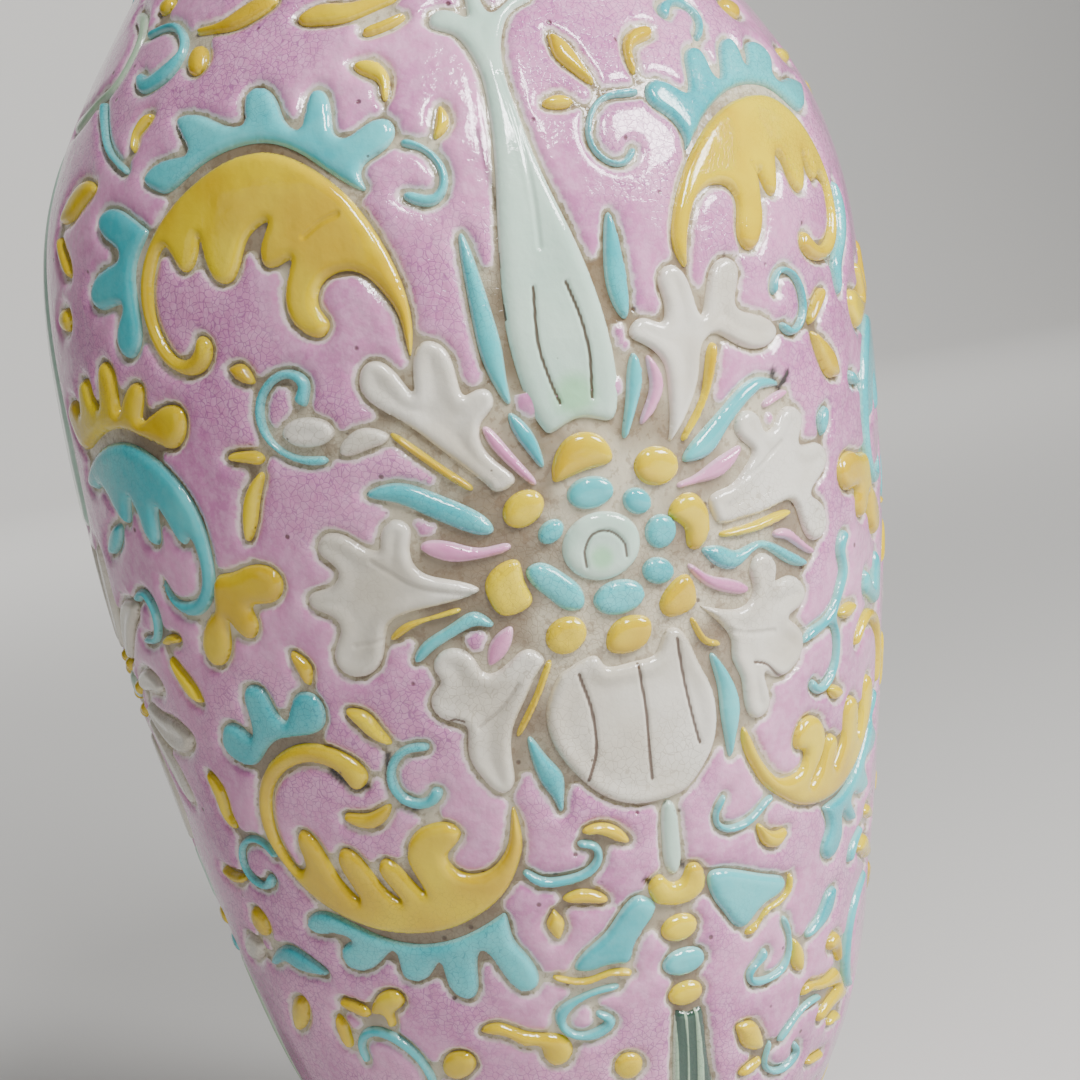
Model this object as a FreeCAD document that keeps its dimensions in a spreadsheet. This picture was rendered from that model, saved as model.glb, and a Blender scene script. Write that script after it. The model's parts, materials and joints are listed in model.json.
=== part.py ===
import FreeCAD, Part
import math
import os
import Sketcher
from FreeCAD import Vector

# A baluster vase of glazed porcelain, thrown in sections that are luted together, with
# flat-backed relief ornament applied all over the outside and glazed in several colours.
# +Z is up, the origin is the middle of the foot's resting face, and -Y is the front.

doc = FreeCAD.newDocument("relief_vase")
sheet = doc.addObject("Spreadsheet::Sheet", "sizes")

# ---------------------------------------------------------------- driving sizes, mm
SIZES = {
    "total_height": 360.0,
    "foot_height": 8.0,
    "foot_radius": 49.0,
    "foot_width": 7.0,
    "foot_round": 1.5,
    "ankle_level": 16.0,
    "ankle_radius": 48.0,
    "shin_level": 43.2,
    "shin_radius": 60.3,
    "calf_level": 85.0,
    "calf_radius": 73.3,
    "flank_level": 140.0,
    "flank_radius": 84.0,
    "belly_level": 217.0,
    "belly_radius": 90.0,
    "shoulder_level": 252.0,
    "shoulder_radius": 85.5,
    "slope_level": 279.7,
    "slope_radius": 70.8,
    "collar_level": 307.5,
    "collar_radius": 50.6,
    "neck_level": 334.0,
    "neck_radius": 38.0,
    "lip_radius": 47.0,
    "wall": 6.0,
    "floor_thickness": 8.0,
    "lower_joint_level": 150.0,
    "neck_joint_level": 300.0,
    "relief": 1.3,
    "drawing_radius": 90.0,
    "drawing_height": 360.0,
}
for row, (alias, value) in enumerate(SIZES.items(), 1):
    sheet.set(f"A{row}", alias)
    sheet.set(f"B{row}", str(value))
    sheet.setAlias(f"B{row}", alias)
doc.recompute()


def size(alias):
    """A driving size, read back from the sheet."""
    return float(sheet.get(alias))


# ---------------------------------------------------------------- the drawing
# Ornament is drawn flat, in mm: u runs round the vase from the middle of the front, z up
# from the foot. The vase carries the drawing twice, on the front and on the back.
# A stroke is a list of (u, z, half width) along its middle, an outline a list of (u, z)
# round its edge, and an oval is (u, z, half length, half height, tilt in degrees).

def stroke(*points):
    """The edge of a stroke: its middle line moved out to both sides by its half width."""
    left, right = [], []
    last = len(points) - 1
    for i, (u, z, w) in enumerate(points):
        before, after = points[max(i - 1, 0)], points[min(i + 1, last)]
        du, dz = after[0] - before[0], after[1] - before[1]
        run = math.hypot(du, dz)
        du, dz = w * du / run, w * dz / run
        left.append((u - dz, z + du))
        right.append((u + dz, z - du))
        if i == 0:
            start_tip = (u - du, z - dz)
        if i == last:
            end_tip = (u + du, z + dz)
    return [start_tip] + left + [end_tip] + right[::-1]


def outline(*points):
    """A closed edge through the points."""
    return list(points)


def oval(u, z, a, b, tilt=0.0, count=8):
    """The edge of an oval."""
    c, s = math.cos(math.radians(tilt)), math.sin(math.radians(tilt))
    turns = [2 * math.pi * k / count for k in range(count)]
    return [(u + a * math.cos(t) * c - b * math.sin(t) * s,
             z + a * math.cos(t) * s + b * math.sin(t) * c) for t in turns]


def mirrored(shapes):
    """The same shapes on the other side of the middle line."""
    return [[(-u, z) for u, z in shape] for shape in shapes]


LOTUS = {
    "lotus_seed_pod": [oval(-0.2, 171.7, 8, 6.6)],
    "lotus_inner_petals": [
        oval(-1, 182.2, 4.7, 3.1), oval(8.2, 178.9, 3.1, 2.5, -30), oval(12.4, 172.2, 3.4, 3.3),
        oval(10.9, 164.7, 3.5, 2.6, -20), oval(2, 161.2, 5.4, 3.4), oval(-9.8, 176.2, 2.8, 2.1, 30),
        stroke((-13.4, 168.6, 2.4), (-10.2, 165.6, 2.8), (-7.4, 162.6, 2.6)),
    ],
    "lotus_outer_petals": [
        outline((-8, 186), (-7, 190), (-4, 193.2), (0, 193.7), (3.4, 191.5), (4.2, 187.6), (-2, 186.4)),
        oval(13.2, 184.8, 4.8, 3.8, -10),
        outline((14.6, 175.6), (17, 178), (20.5, 178.2), (23.3, 175), (23.4, 170.5), (20.6, 167.2),
                (18, 168.3), (17.6, 172)),
        outline((10.4, 158.2), (13, 161.4), (17, 162.8), (18.7, 160.3), (18.4, 156.6), (15, 155.1),
                (11.5, 155.6)),
        outline((-1.9, 152.6), (0.2, 156.3), (4, 157.2), (7.7, 155.8), (7.9, 153), (5.4, 150.4),
                (0.5, 150.2)),
        oval(-9.8, 155.8, 4.3, 3.6, 15),
        outline((-24, 168.5), (-20.6, 171.7), (-17, 171.8), (-16.4, 168), (-15.4, 163.8),
                (-18, 161.9), (-22, 162), (-23.8, 165)),
        oval(-14.4, 181.4, 4.3, 3.3, 25),
    ],
    "lotus_leaves": [
        outline((-19.8, 186), (-23.4, 190.2), (-28, 195), (-32.6, 199.8), (-37, 203.4), (-41, 208),
                (-40, 212.4), (-37, 213.2), (-33.6, 210), (-31.3, 206.4), (-30.4, 212), (-27.5, 215.4),
                (-24.3, 213.8), (-22.8, 208.6), (-22, 204.4), (-19.8, 204.9), (-17.2, 204.4),
                (-17, 201.4), (-19.6, 198.8), (-20.2, 195), (-17.5, 190.6), (-15.2, 186.8)),
        stroke((-46, 197.8, 1.5), (-42, 199.2, 2.1), (-38.4, 199, 1.2)),
        oval(-53, 202, 5.4, 2.9, -5),
        outline((-25.6, 168), (-31, 170.4), (-36.3, 173), (-37.3, 177.5), (-36.4, 181), (-39, 183.3),
                (-42.4, 181), (-43.4, 178), (-46, 178.8), (-50, 181.8), (-54.3, 182), (-55.6, 178.8),
                (-52.6, 175), (-55, 172), (-59.6, 171), (-59.8, 168.6), (-55.5, 165.8), (-55, 162.9),
                (-57.2, 159), (-56, 154.8), (-51.5, 153.8), (-47.8, 156), (-46, 160), (-44, 163.6),
                (-38, 165.4), (-31, 166)),
        outline((-15.4, 153), (-19.4, 154.2), (-23.6, 151.6), (-27, 151.2), (-28.6, 154), (-31, 156.6),
                (-35, 156.6), (-37.2, 153.6), (-36.4, 150.8), (-38.8, 148), (-38.6, 144.5),
                (-35.5, 142.4), (-33, 141), (-33.6, 136), (-31.6, 130), (-28, 126.6), (-25.4, 128),
                (-24.8, 133), (-23.4, 139.6), (-19.4, 145.6), (-16.6, 149.6)),
        outline((16.6, 189.4), (17.6, 194), (18, 199), (17.7, 204), (14.2, 208), (11.4, 210.5),
                (14.5, 213), (18.6, 211.6), (19.8, 215), (19.4, 220), (22.5, 222), (25.5, 219.5),
                (26.8, 214), (27.8, 211.6), (30, 216), (33, 220.8), (37.2, 221.4), (38.5, 218),
                (36.6, 212.6), (40, 210.4), (45, 208.6), (47, 205.8), (44.5, 203.5), (39.5, 203.3),
                (34.5, 205.4), (30.2, 207.6), (26.8, 205.6), (25, 200), (22.2, 194.8), (18.8, 190.6)),
        outline((24.4, 173.6), (25, 177), (29.6, 178), (34.2, 181), (36.2, 183.8), (33, 187),
                (32.6, 190), (35.4, 191.7), (38.6, 190.4), (40, 187.2), (42.6, 187.2), (46, 190.2),
                (50.4, 190), (51.8, 187), (50, 183.4), (53, 182.2), (57.4, 181.8), (59.8, 179),
                (57.6, 175.6), (52.8, 172.4), (55, 170.8), (57.7, 168), (57.6, 164.5), (54.3, 162.4),
                (51, 163.8), (49, 167.4), (46.4, 171.8), (39, 171.4), (32, 171), (26.4, 171)),
        outline((19.8, 155.9), (23.6, 154.6), (30.6, 153.6), (33.4, 156.6), (32.8, 160.4),
                (35, 163), (38.4, 162.4), (40, 159.5), (39.6, 157), (43, 157.1), (47.1, 155.7),
                (48.8, 152.5), (46.2, 149.9), (43, 148.8), (46.4, 146), (47, 141), (43.5, 138),
                (38.5, 137.3), (35, 139), (36.2, 134), (34.6, 130.6), (31.2, 130.6), (29.2, 134.6),
                (28.6, 139.6), (26.6, 144), (26, 149)),
    ],
    "shell_calyx": [
        outline((-11.8, 148.6), (-8, 150.2), (-4.2, 150.6), (-2.6, 148.4), (3, 148), (8.6, 148.8),
                (10.8, 152.4), (13.6, 152.8), (16, 150), (17.8, 145.4), (20, 141), (21.2, 137),
                (21.2, 131), (18.8, 125.6), (14, 120.9), (10.8, 119.4), (4.4, 119), (-0.6, 119.6),
                (-6.5, 122.4), (-11.6, 127.5), (-15, 133), (-16.4, 138.5), (-15.4, 143.5)),
    ],
    "gourd_leaf": [
        outline((-7.8, 195), (-9.8, 199), (-11.5, 207), (-12.2, 216), (-11.5, 226), (-10.3, 236),
                (-8.8, 246), (-7.8, 256), (-7.7, 263), (-9, 268), (-12, 271.8), (-16, 273.6),
                (-15.2, 276), (-10.5, 276.2), (-7.4, 274.6), (-6.4, 279), (-4.4, 283.4), (-3, 279),
                (-1.6, 274.8), (3, 276.6), (9, 278.2), (9.6, 276.8), (4.6, 275), (0.4, 271.6),
                (-1.8, 267), (-2.6, 261), (-2, 254), (-0.8, 246), (1.2, 238), (3.6, 230), (5.6, 222),
                (7, 214), (7.6, 206), (7.1, 199), (5.2, 195.2), (1, 196.2), (-3.5, 196)),
    ],
    "blades": [
        stroke((-17.6, 233.5, 0.5), (-16.9, 226, 1.5), (-16.2, 218, 2.0), (-15.6, 211, 2.1),
               (-14.9, 205.5, 1.3), (-14, 201.8, 0.5)),
        stroke((-13.9, 199, 0.7), (-12.4, 196, 1.5), (-10.8, 192.5, 1.3), (-9.6, 189, 0.5)),
        stroke((11.3, 233, 0.6), (10.8, 226, 1.9), (10.6, 219, 2.1), (11, 214.4, 1.0)),
        stroke((11.6, 206, 0.8), (11.2, 202.5, 1.6), (9.6, 197, 1.2), (7.4, 191.6, 0.5)),
        stroke((20, 185.2, 1.0), (24.4, 187, 2.4), (30, 191.2, 1.9), (36, 195, 1.7), (41, 196.4, 1.2),
               (45.5, 195.6, 0.4)),
        stroke((21.8, 166.6, 0.7), (25.2, 164.8, 2.0), (29.6, 163.4, 1.7), (35.4, 165, 0.8),
               (41, 162.8, 1.1), (46, 160, 1.2), (50, 158.5, 0.5)),
        stroke((-43, 188.7, 0.7), (-38, 188.3, 1.9), (-32, 185.3, 2.3), (-26, 181.6, 2.3),
               (-22, 179, 1.5)),
        stroke((-40, 155.9, 0.8), (-37.4, 158, 1.2), (-31.6, 160.6, 1.2), (-27, 162, 1.4),
               (-24.4, 160.6, 0.7)),
        stroke((21.4, 145.6, 0.5), (24, 140, 1.8), (25.2, 133.4, 2.5), (24.8, 127.4, 1.3),
               (24.6, 124.4, 0.5)),
        stroke((-20.4, 136.6, 0.6), (-19, 132, 1.7), (-17, 127.6, 2.4), (-16.3, 123.8, 1.2),
               (-16.2, 121.4, 0.5)),
    ],
    "pink_petals": [
        stroke((14.6, 205.4, 0.5), (15.6, 201.6, 1.4), (14.5, 197.5, 1.3), (11.4, 193.6, 0.5)),
        stroke((17.6, 180.2, 0.5), (21, 180.6, 0.8), (26, 181.6, 1.7), (30.2, 183.2, 1.5),
               (32.8, 184.8, 0.6)),
        stroke((41, 192, 0.6), (44.4, 193, 0.9), (47.6, 193.6, 0.5)),
        stroke((40.6, 166.2, 0.6), (44, 165.6, 1.1), (48, 163, 0.9), (52.4, 160.4, 0.5)),
        stroke((18, 164.2, 0.5), (21.4, 161, 1.0), (26, 158.8, 1.4), (31, 157, 0.9)),
        stroke((-19, 197.3, 0.7), (-17.4, 194.3, 1.2), (-14.3, 189.6, 1.0), (-11.6, 186, 0.5)),
        stroke((-34, 177.2, 1.2), (-29.6, 175.6, 1.9), (-23.6, 174.4, 1.0), (-18.6, 174.8, 0.7)),
        stroke((-25.4, 153.4, 1.0), (-23.3, 156, 1.9), (-21, 158.6, 1.0)),
    ],
    "yellow_petals": [
        stroke((-36.6, 199.2, 0.4), (-33.4, 196.1, 0.8), (-28.4, 191.2, 0.8), (-23.6, 186.9, 0.5)),
        stroke((-44.2, 160.6, 0.5), (-41, 162.3, 0.8), (-36, 163.4, 0.4), (-30, 164.2, 0.4)),
        stroke((29.4, 205.1, 1.0), (27.6, 200, 1.1), (25, 194.8, 0.8), (19.8, 188.9, 0.5)),
        stroke((26.2, 168.9, 0.5), (33, 168.7, 1.0), (39, 169.2, 1.1), (45, 169.8, 0.5)),
        stroke((17.4, 153.6, 0.5), (18.8, 150.6, 0.7), (20.8, 148.4, 0.7), (23.2, 147.6, 0.5)),
        stroke((-14, 151.2, 0.5), (-16.9, 146, 0.7), (-20, 141.4, 0.7), (-22.6, 138, 0.4)),
    ],
    "lower_stem": [stroke((8, 117, 1.6), (8, 111, 2.2), (8, 104.6, 1.8))],
    "ribbon_knot": [
        outline((1.7, 99.5), (2.3, 102.6), (4.8, 103.3), (7, 101.3), (10, 101.5), (11.6, 103.8),
                (14.4, 103.7), (16, 101), (15.4, 98), (12, 96.2), (7, 96.2), (3.2, 97.4)),
    ],
    "tassel_beads": [oval(8.4, 91, 4.8, 2.9), oval(8.9, 76.3, 4.8, 2.6)],
    "middle_bead": [oval(9, 83.4, 5.8, 2.9)],
    "tassel": [
        outline((5.4, 72.6), (4.2, 64), (3.4, 55), (3.4, 48.4), (9.5, 47), (16.2, 48.4), (15.6, 57),
                (14.2, 66), (12.6, 72.6), (9, 72)),
    ],
    "ribbons": [
        outline((17.4, 96.8), (17.4, 100.8), (20.4, 101), (28, 98.6), (36, 95.8), (40.8, 93.6),
                (39.2, 91.2), (34, 90.2), (30.4, 88.6), (27.5, 86.9), (24.5, 87.4), (21, 91.4)),
        outline((0.2, 99.6), (2.6, 96.2), (-0.8, 92.6), (-3.9, 88.8), (-5.4, 86.3), (-9.5, 86.6),
                (-12.5, 86.3), (-16, 86.1), (-18.8, 87.2), (-15.2, 90.8), (-9, 94.6)),
    ],
    "ribbon_hems": [
        stroke((43, 93.6, 0.7), (42.2, 90.8, 0.7), (38, 89, 0.6), (34, 88.2, 0.6), (31.6, 86.4, 0.6),
               (28, 85.2, 0.7)),
        stroke((-24, 86, 0.5), (-20, 84.6, 0.7), (-15, 84.1, 0.7), (-10, 84.8, 0.7), (-5.5, 84, 0.7)),
    ],
}

SCROLLS = {
    "scroll_leaves": [
        outline((-30.4, 213.5), (-29.3, 219.5), (-30, 227), (-33, 236), (-38, 244.5), (-45, 251),
                (-53, 254.9), (-61, 255.3), (-69, 253), (-77, 248.6), (-83.5, 242.5), (-87.2, 235),
                (-87, 227), (-84, 220), (-79.5, 216.6), (-75, 216), (-71.5, 218.2), (-71, 222),
                (-73.5, 223), (-75.3, 220.3), (-78.5, 219.2), (-82, 222.5), (-84.2, 229), (-83.3, 236),
                (-80, 241), (-77.9, 239.6), (-75.2, 235.8), (-72, 237), (-70.3, 241.5), (-69.5, 238),
                (-67.2, 232.8), (-63.7, 232.4), (-61, 236.5), (-58.3, 240.6), (-54.6, 242),
                (-56.4, 238), (-56, 234), (-52.8, 233.8), (-50.6, 234.4), (-52.3, 230), (-52.6, 224),
                (-50, 220.4), (-46.5, 219.3), (-44.9, 221.5), (-46.3, 224.5), (-45.8, 228),
                (-43, 230.2), (-39, 230.4), (-35.5, 228), (-32.6, 223.5), (-31.2, 218)),
        outline((25.4, 221.4), (24.0, 225.6), (25, 230.5), (28.5, 237), (34, 243.3), (41, 248.3),
                (49, 251.5), (57, 252.8), (65, 252.2), (72, 248.6), (77.3, 242.5), (80.2, 235.5),
                (80.5, 228.5), (78.2, 222.5), (73.5, 218.8), (67.5, 217.9), (62.5, 219.2), (60.4, 222),
                (62.5, 224.3), (66, 222), (71, 221.3), (75.3, 224), (77.3, 229), (77, 233.8),
                (74.6, 235), (71.6, 234.5), (69.4, 239.6), (67.6, 236), (64.8, 232.2), (61.8, 233.8),
                (60.2, 238.5), (58.3, 240.4), (56.4, 236.6), (54, 232.3), (51.6, 233.8), (50.6, 237.4),
                (49.4, 233), (48.5, 228), (45.5, 223.2), (42.5, 222.4), (40.6, 224.6), (41.2, 228.5),
                (42, 232.5), (40, 235.3), (36, 235.8), (32, 234), (29, 230), (27, 224.5)),
        outline((-58, 131.5), (-56.8, 134.5), (-60, 138), (-65.5, 140.4), (-72, 140.8), (-79, 138.4),
                (-85, 134), (-89.2, 127), (-89.6, 120), (-86.3, 113.5), (-81, 107.5), (-73, 102.8),
                (-64, 99.9), (-54, 98.9), (-45, 99.8), (-37, 102.6), (-31, 106.8), (-27, 112.5),
                (-25.6, 118), (-26.4, 123.5), (-27.8, 119.6), (-29.6, 115), (-33, 111.7), (-37.5, 110.6),
                (-41.5, 112), (-43.1, 114.8), (-40.8, 117.2), (-38.9, 119.5), (-40.5, 121.8),
                (-45, 122.2), (-49.8, 120.2), (-52.4, 115.8), (-51.3, 110.8), (-50.4, 107.8),
                (-52.9, 110.6), (-55.3, 114), (-58, 115.6), (-60.1, 114), (-59, 110.2), (-56.8, 106.4),
                (-59.9, 108.9), (-63, 114.2), (-66.3, 118), (-69, 117.8), (-70.2, 115), (-68.8, 110.8),
                (-67.6, 107), (-71, 110.8), (-73.3, 116.3), (-75.5, 121), (-78.2, 122.3), (-80.2, 119.8),
                (-80.2, 114.8), (-82.7, 113.4), (-85.5, 117.4), (-86.3, 122.5), (-84.5, 128.8),
                (-80, 133.8), (-73.5, 136.6), (-67.5, 136.6), (-63, 134), (-61, 131)),
        outline((28.2, 128.9), (28.1, 125.2), (30.7, 120), (34.5, 115.2), (40, 111.4), (46, 108.4),
                (54, 106.9), (62, 107.2), (70, 109.7), (77, 113.9), (82, 119), (84.2, 124), (83, 127.8),
                (79.6, 128.4), (77.5, 125.5), (76.3, 121), (73.4, 117.4), (73, 121), (71.8, 125.3),
                (68.5, 126.3), (66, 123.4), (65.2, 118.5), (62, 115), (60.3, 113.6), (61.3, 116.6),
                (60.8, 119.8), (58, 120.4), (55.8, 117.4), (53, 113.8), (50, 112.2), (52.5, 115),
                (55.5, 119.2), (55.1, 123.3), (51.5, 126.2), (47, 126.1), (44.4, 123.6), (44.8, 120.8),
                (47.8, 119.4), (47.2, 116.8), (43.8, 115.4), (39, 116), (35.3, 119), (31.8, 124)),
        stroke((72, 137.4, 0.8), (75, 139.8, 1.2), (80, 141.4, 1.4), (86, 140.2, 1.5), (90.2, 136.5, 1.7),
               (92.2, 130, 1.9), (91.2, 125.6, 1.0)),
    ],
    "scroll_fringes": [
        outline((-34.2, 245.6), (-33.6, 249.6), (-29.6, 251.5), (-27, 254.4), (-28.2, 257.2),
                (-32.5, 257), (-36.5, 255.2), (-39, 256), (-39.6, 260), (-41, 264.6), (-43.5, 265),
                (-45.2, 262), (-46.6, 258.4), (-49.5, 260), (-51.5, 264), (-54.5, 267.3), (-58.3, 267.6),
                (-59.8, 265), (-59.4, 261.6), (-63.5, 261.7), (-69.5, 264.4), (-75, 265.7),
                (-78, 265), (-75.8, 261.5), (-73.6, 258.2), (-78, 257.8), (-84, 256.8), (-85.8, 254.5),
                (-83, 252.6), (-78.5, 251.4), (-71, 254.7), (-62, 257.2), (-53, 256.7), (-46, 253.3),
                (-40, 248.4)),
        outline((-84.6, 245.2), (-88, 247.3), (-94, 250.3), (-99.5, 250.6), (-101.3, 248.5),
                (-99, 245.3), (-95, 243), (-93.4, 241.2), (-97.5, 239.7), (-103.3, 237.7), (-105, 234),
                (-102, 231.5), (-96.5, 231.8), (-93.6, 231.2), (-95.8, 228), (-96.8, 223.8),
                (-94.5, 221.2), (-90.8, 222.2), (-88.8, 227), (-89.2, 234), (-87.4, 240.6)),
        outline((32.2, 243.6), (32.2, 247), (30, 250.3), (27.3, 252.6), (27, 255.4), (29.5, 257.4),
                (33.5, 256.6), (37.5, 254.4), (40.3, 258.2), (42.8, 262.4), (46.3, 263.4), (48, 261),
                (47.6, 257.4), (49.2, 256.6), (53, 260.5), (57, 264.1), (61.3, 265), (62.1, 262),
                (61, 259.2), (64, 260.2), (68, 263.6), (73, 264.4), (76.3, 262.4), (75.3, 259.2),
                (71.6, 256.4), (75, 255.8), (81, 256.4), (86, 256.2), (89, 255), (86, 252.3),
                (81, 249.4), (76.4, 249.4), (72, 251.8), (66, 254.5), (58, 255.2), (50, 254),
                (42, 250.8), (36, 246.4)),
        stroke((75, 211.5, 1.2), (75.7, 216, 2.3), (79.4, 219.4, 1.9), (84, 223.6, 2.4),
               (86.4, 229, 2.8), (86, 232.4, 1.6)),
        outline((-33.4, 101.4), (-38, 99.4), (-45, 97.2), (-54, 96.3), (-62, 97.5), (-69, 100),
                (-75.5, 103), (-82, 103.8), (-86.6, 101), (-84, 98.8), (-78, 99), (-73.8, 97.6),
                (-77, 96.2), (-78.4, 93.4), (-76.8, 91.2), (-72, 90.8), (-67, 93), (-62.6, 95.2),
                (-62.2, 92.4), (-61.8, 89.2), (-58.5, 88.2), (-54.5, 89.7), (-51.4, 92.2), (-50.8, 87.7),
                (-49, 84.5), (-45.6, 83.6), (-43.2, 86.1), (-42.2, 91), (-40.2, 94), (-38, 91.8),
                (-36, 87.6), (-32.5, 84), (-29, 84.5), (-27.8, 87.6), (-30, 92.4), (-32.3, 97)),
        outline((-82.8, 151.4), (-80.5, 153.6), (-77, 152.8), (-75.5, 148.8), (-73.4, 145.8),
                (-71, 148.8), (-67.8, 151.6), (-64, 150.6), (-62.9, 147.3), (-64.5, 144), (-69.5, 142.6),
                (-75, 142.3), (-80, 140.6), (-85, 137), (-89, 136.6), (-93.6, 139.2), (-94, 142.4),
                (-91.5, 145.2), (-87, 144.9), (-84, 143), (-82.9, 146.8)),
        outline((56.4, 104.8), (58, 102.8), (58.6, 99.8), (56.4, 97), (57.2, 94.2), (61, 93),
                (64.6, 95), (66.1, 98.4), (65.6, 101.8), (68.4, 100.2), (72, 98.2), (75.3, 98.1),
                (73.3, 101.2), (71, 103.8), (74.4, 103.8), (79, 102.5), (84.3, 103.5), (82, 107.2),
                (80, 109.4), (83.4, 109.8), (88.3, 110.5), (91.4, 113.4), (88, 116.4), (86, 117.7),
                (88.7, 120.2), (91.6, 123.2), (88, 123.1), (84.2, 118.8), (79, 113.4), (72, 108.7),
                (64, 106), (59.4, 105.6)),
        outline((76.7, 149.5), (79, 151.6), (82.2, 149.4), (84.6, 147.7), (85.8, 151.4), (88.5, 154.2),
                (91.5, 151.3), (91.3, 147), (90, 143.2), (86, 143.1), (81.2, 145.2)),
    ],
    "stems": [
        stroke((-117, 290.5, 0.9), (-110.5, 288.5, 1.4), (-106.6, 284.8, 1.4), (-107, 280, 1.2),
               (-110.5, 276.2, 1.0), (-117, 274.6, 1.0), (-125, 272.3, 1.4), (-134, 271, 1.4)),
    ],
    "inner_tassels": [
        stroke((91, 82, 0.8), (84, 80, 1.3), (78, 76, 2.0), (75.8, 70, 2.4), (77.5, 64, 2.4),
               (82.5, 59.5, 1.6), (88, 57.5, 0.8)),
    ],
}

SIDE_SCROLL = {
    "side_scroll_leaves": [
        outline((-99.1, 175.6), (-97.3, 171), (-92, 168.4), (-86.6, 169.8), (-82.7, 174.5),
                (-81.5, 181.5), (-82.2, 188.5), (-85.4, 195), (-90.5, 200), (-97.5, 203.8),
                (-105, 204.9), (-112.5, 203.8), (-119.5, 200.9), (-123.8, 197), (-120.5, 195.4),
                (-116.3, 196.1), (-113, 193.8), (-110.2, 189.6), (-107.2, 188.2), (-105.4, 190.5),
                (-103.8, 193.4), (-101.8, 190), (-100.7, 185.5), (-98, 183.4), (-96, 185.5),
                (-94.6, 191), (-92.3, 188.5), (-90.3, 184.7), (-88.2, 183.2), (-86.4, 184.4),
                (-85.2, 181), (-86.1, 175.4), (-89.5, 172), (-94.3, 171.6), (-97.5, 173.8)),
        stroke((-120.5, 182.3, 1.0), (-117, 184.3, 2.0), (-112.5, 187.0, 1.3)),
    ],
    "side_scroll_fringes": [
        outline((-88.4, 203), (-83.5, 203), (-81, 206), (-81, 209.7), (-84.5, 211), (-89.5, 209.8),
                (-93.6, 208.6), (-92.5, 211.5), (-91.5, 215.3), (-94, 216.3), (-98, 213.8),
                (-100.8, 210.9), (-100.7, 215), (-101.2, 219.6), (-103.8, 221.3), (-106.6, 219),
                (-108.6, 212.6), (-111.3, 214), (-112.6, 217.8), (-116, 218.3), (-118, 215.5),
                (-119.2, 212), (-122, 213.6), (-126, 214.2), (-128, 211.5), (-126, 207.3),
                (-122, 204), (-116, 205), (-108, 207.2), (-100, 207.2), (-94, 205.2)),
    ],
    "side_buds": [
        outline((-83.6, 171.8), (-81, 176.5), (-77.5, 176.8), (-73, 177.8), (-68, 177.5), (-65.3, 174.8),
                (-66.3, 171.5), (-70, 170), (-74, 169.6), (-73.7, 166.1), (-76, 163.3), (-79, 164.4),
                (-81.2, 167.2), (-82.2, 163), (-86, 158.3), (-89.5, 158.3), (-91, 161.5), (-89.5, 165.4),
                (-86, 168.6)),
        stroke((-104.8, 163, 0.8), (-102, 163.6, 1.0), (-99.5, 163.5, 0.7)),
        stroke((-104.5, 159, 0.7), (-102.3, 155.5, 1.8), (-99.5, 152, 1.8), (-98, 150.5, 0.8)),
        stroke((-122, 251.5, 1.0), (-116, 253.5, 2.9), (-110, 255.6, 2.5), (-105.8, 255.8, 1.0)),
        stroke((-123.5, 247.5, 0.8), (-120, 243.8, 1.5), (-116, 240.3, 1.2)),
        oval(-120.5, 231, 3.5, 2.5),
        stroke((-104.5, 133.5, 0.9), (-102.8, 130, 2.0), (-102.8, 125, 1.5), (-101.4, 122.4, 0.8)),
        stroke((-116, 110.5, 0.9), (-111, 109.4, 1.3), (-106.6, 109.8, 0.7)),
        oval(-107, 99.5, 3.7, 3.4),
        stroke((-110, 74, 1.2), (-106, 77.5, 2.8), (-101.5, 80.5, 2.1)),
    ],
    "side_tendrils": [
        stroke((-112.5, 172.3, 1.0), (-108.5, 173, 1.0), (-106, 170, 1.1), (-106.3, 166.5, 1.1),
               (-109, 163.6, 0.9), (-114, 163, 0.8)),
    ],
}

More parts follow.
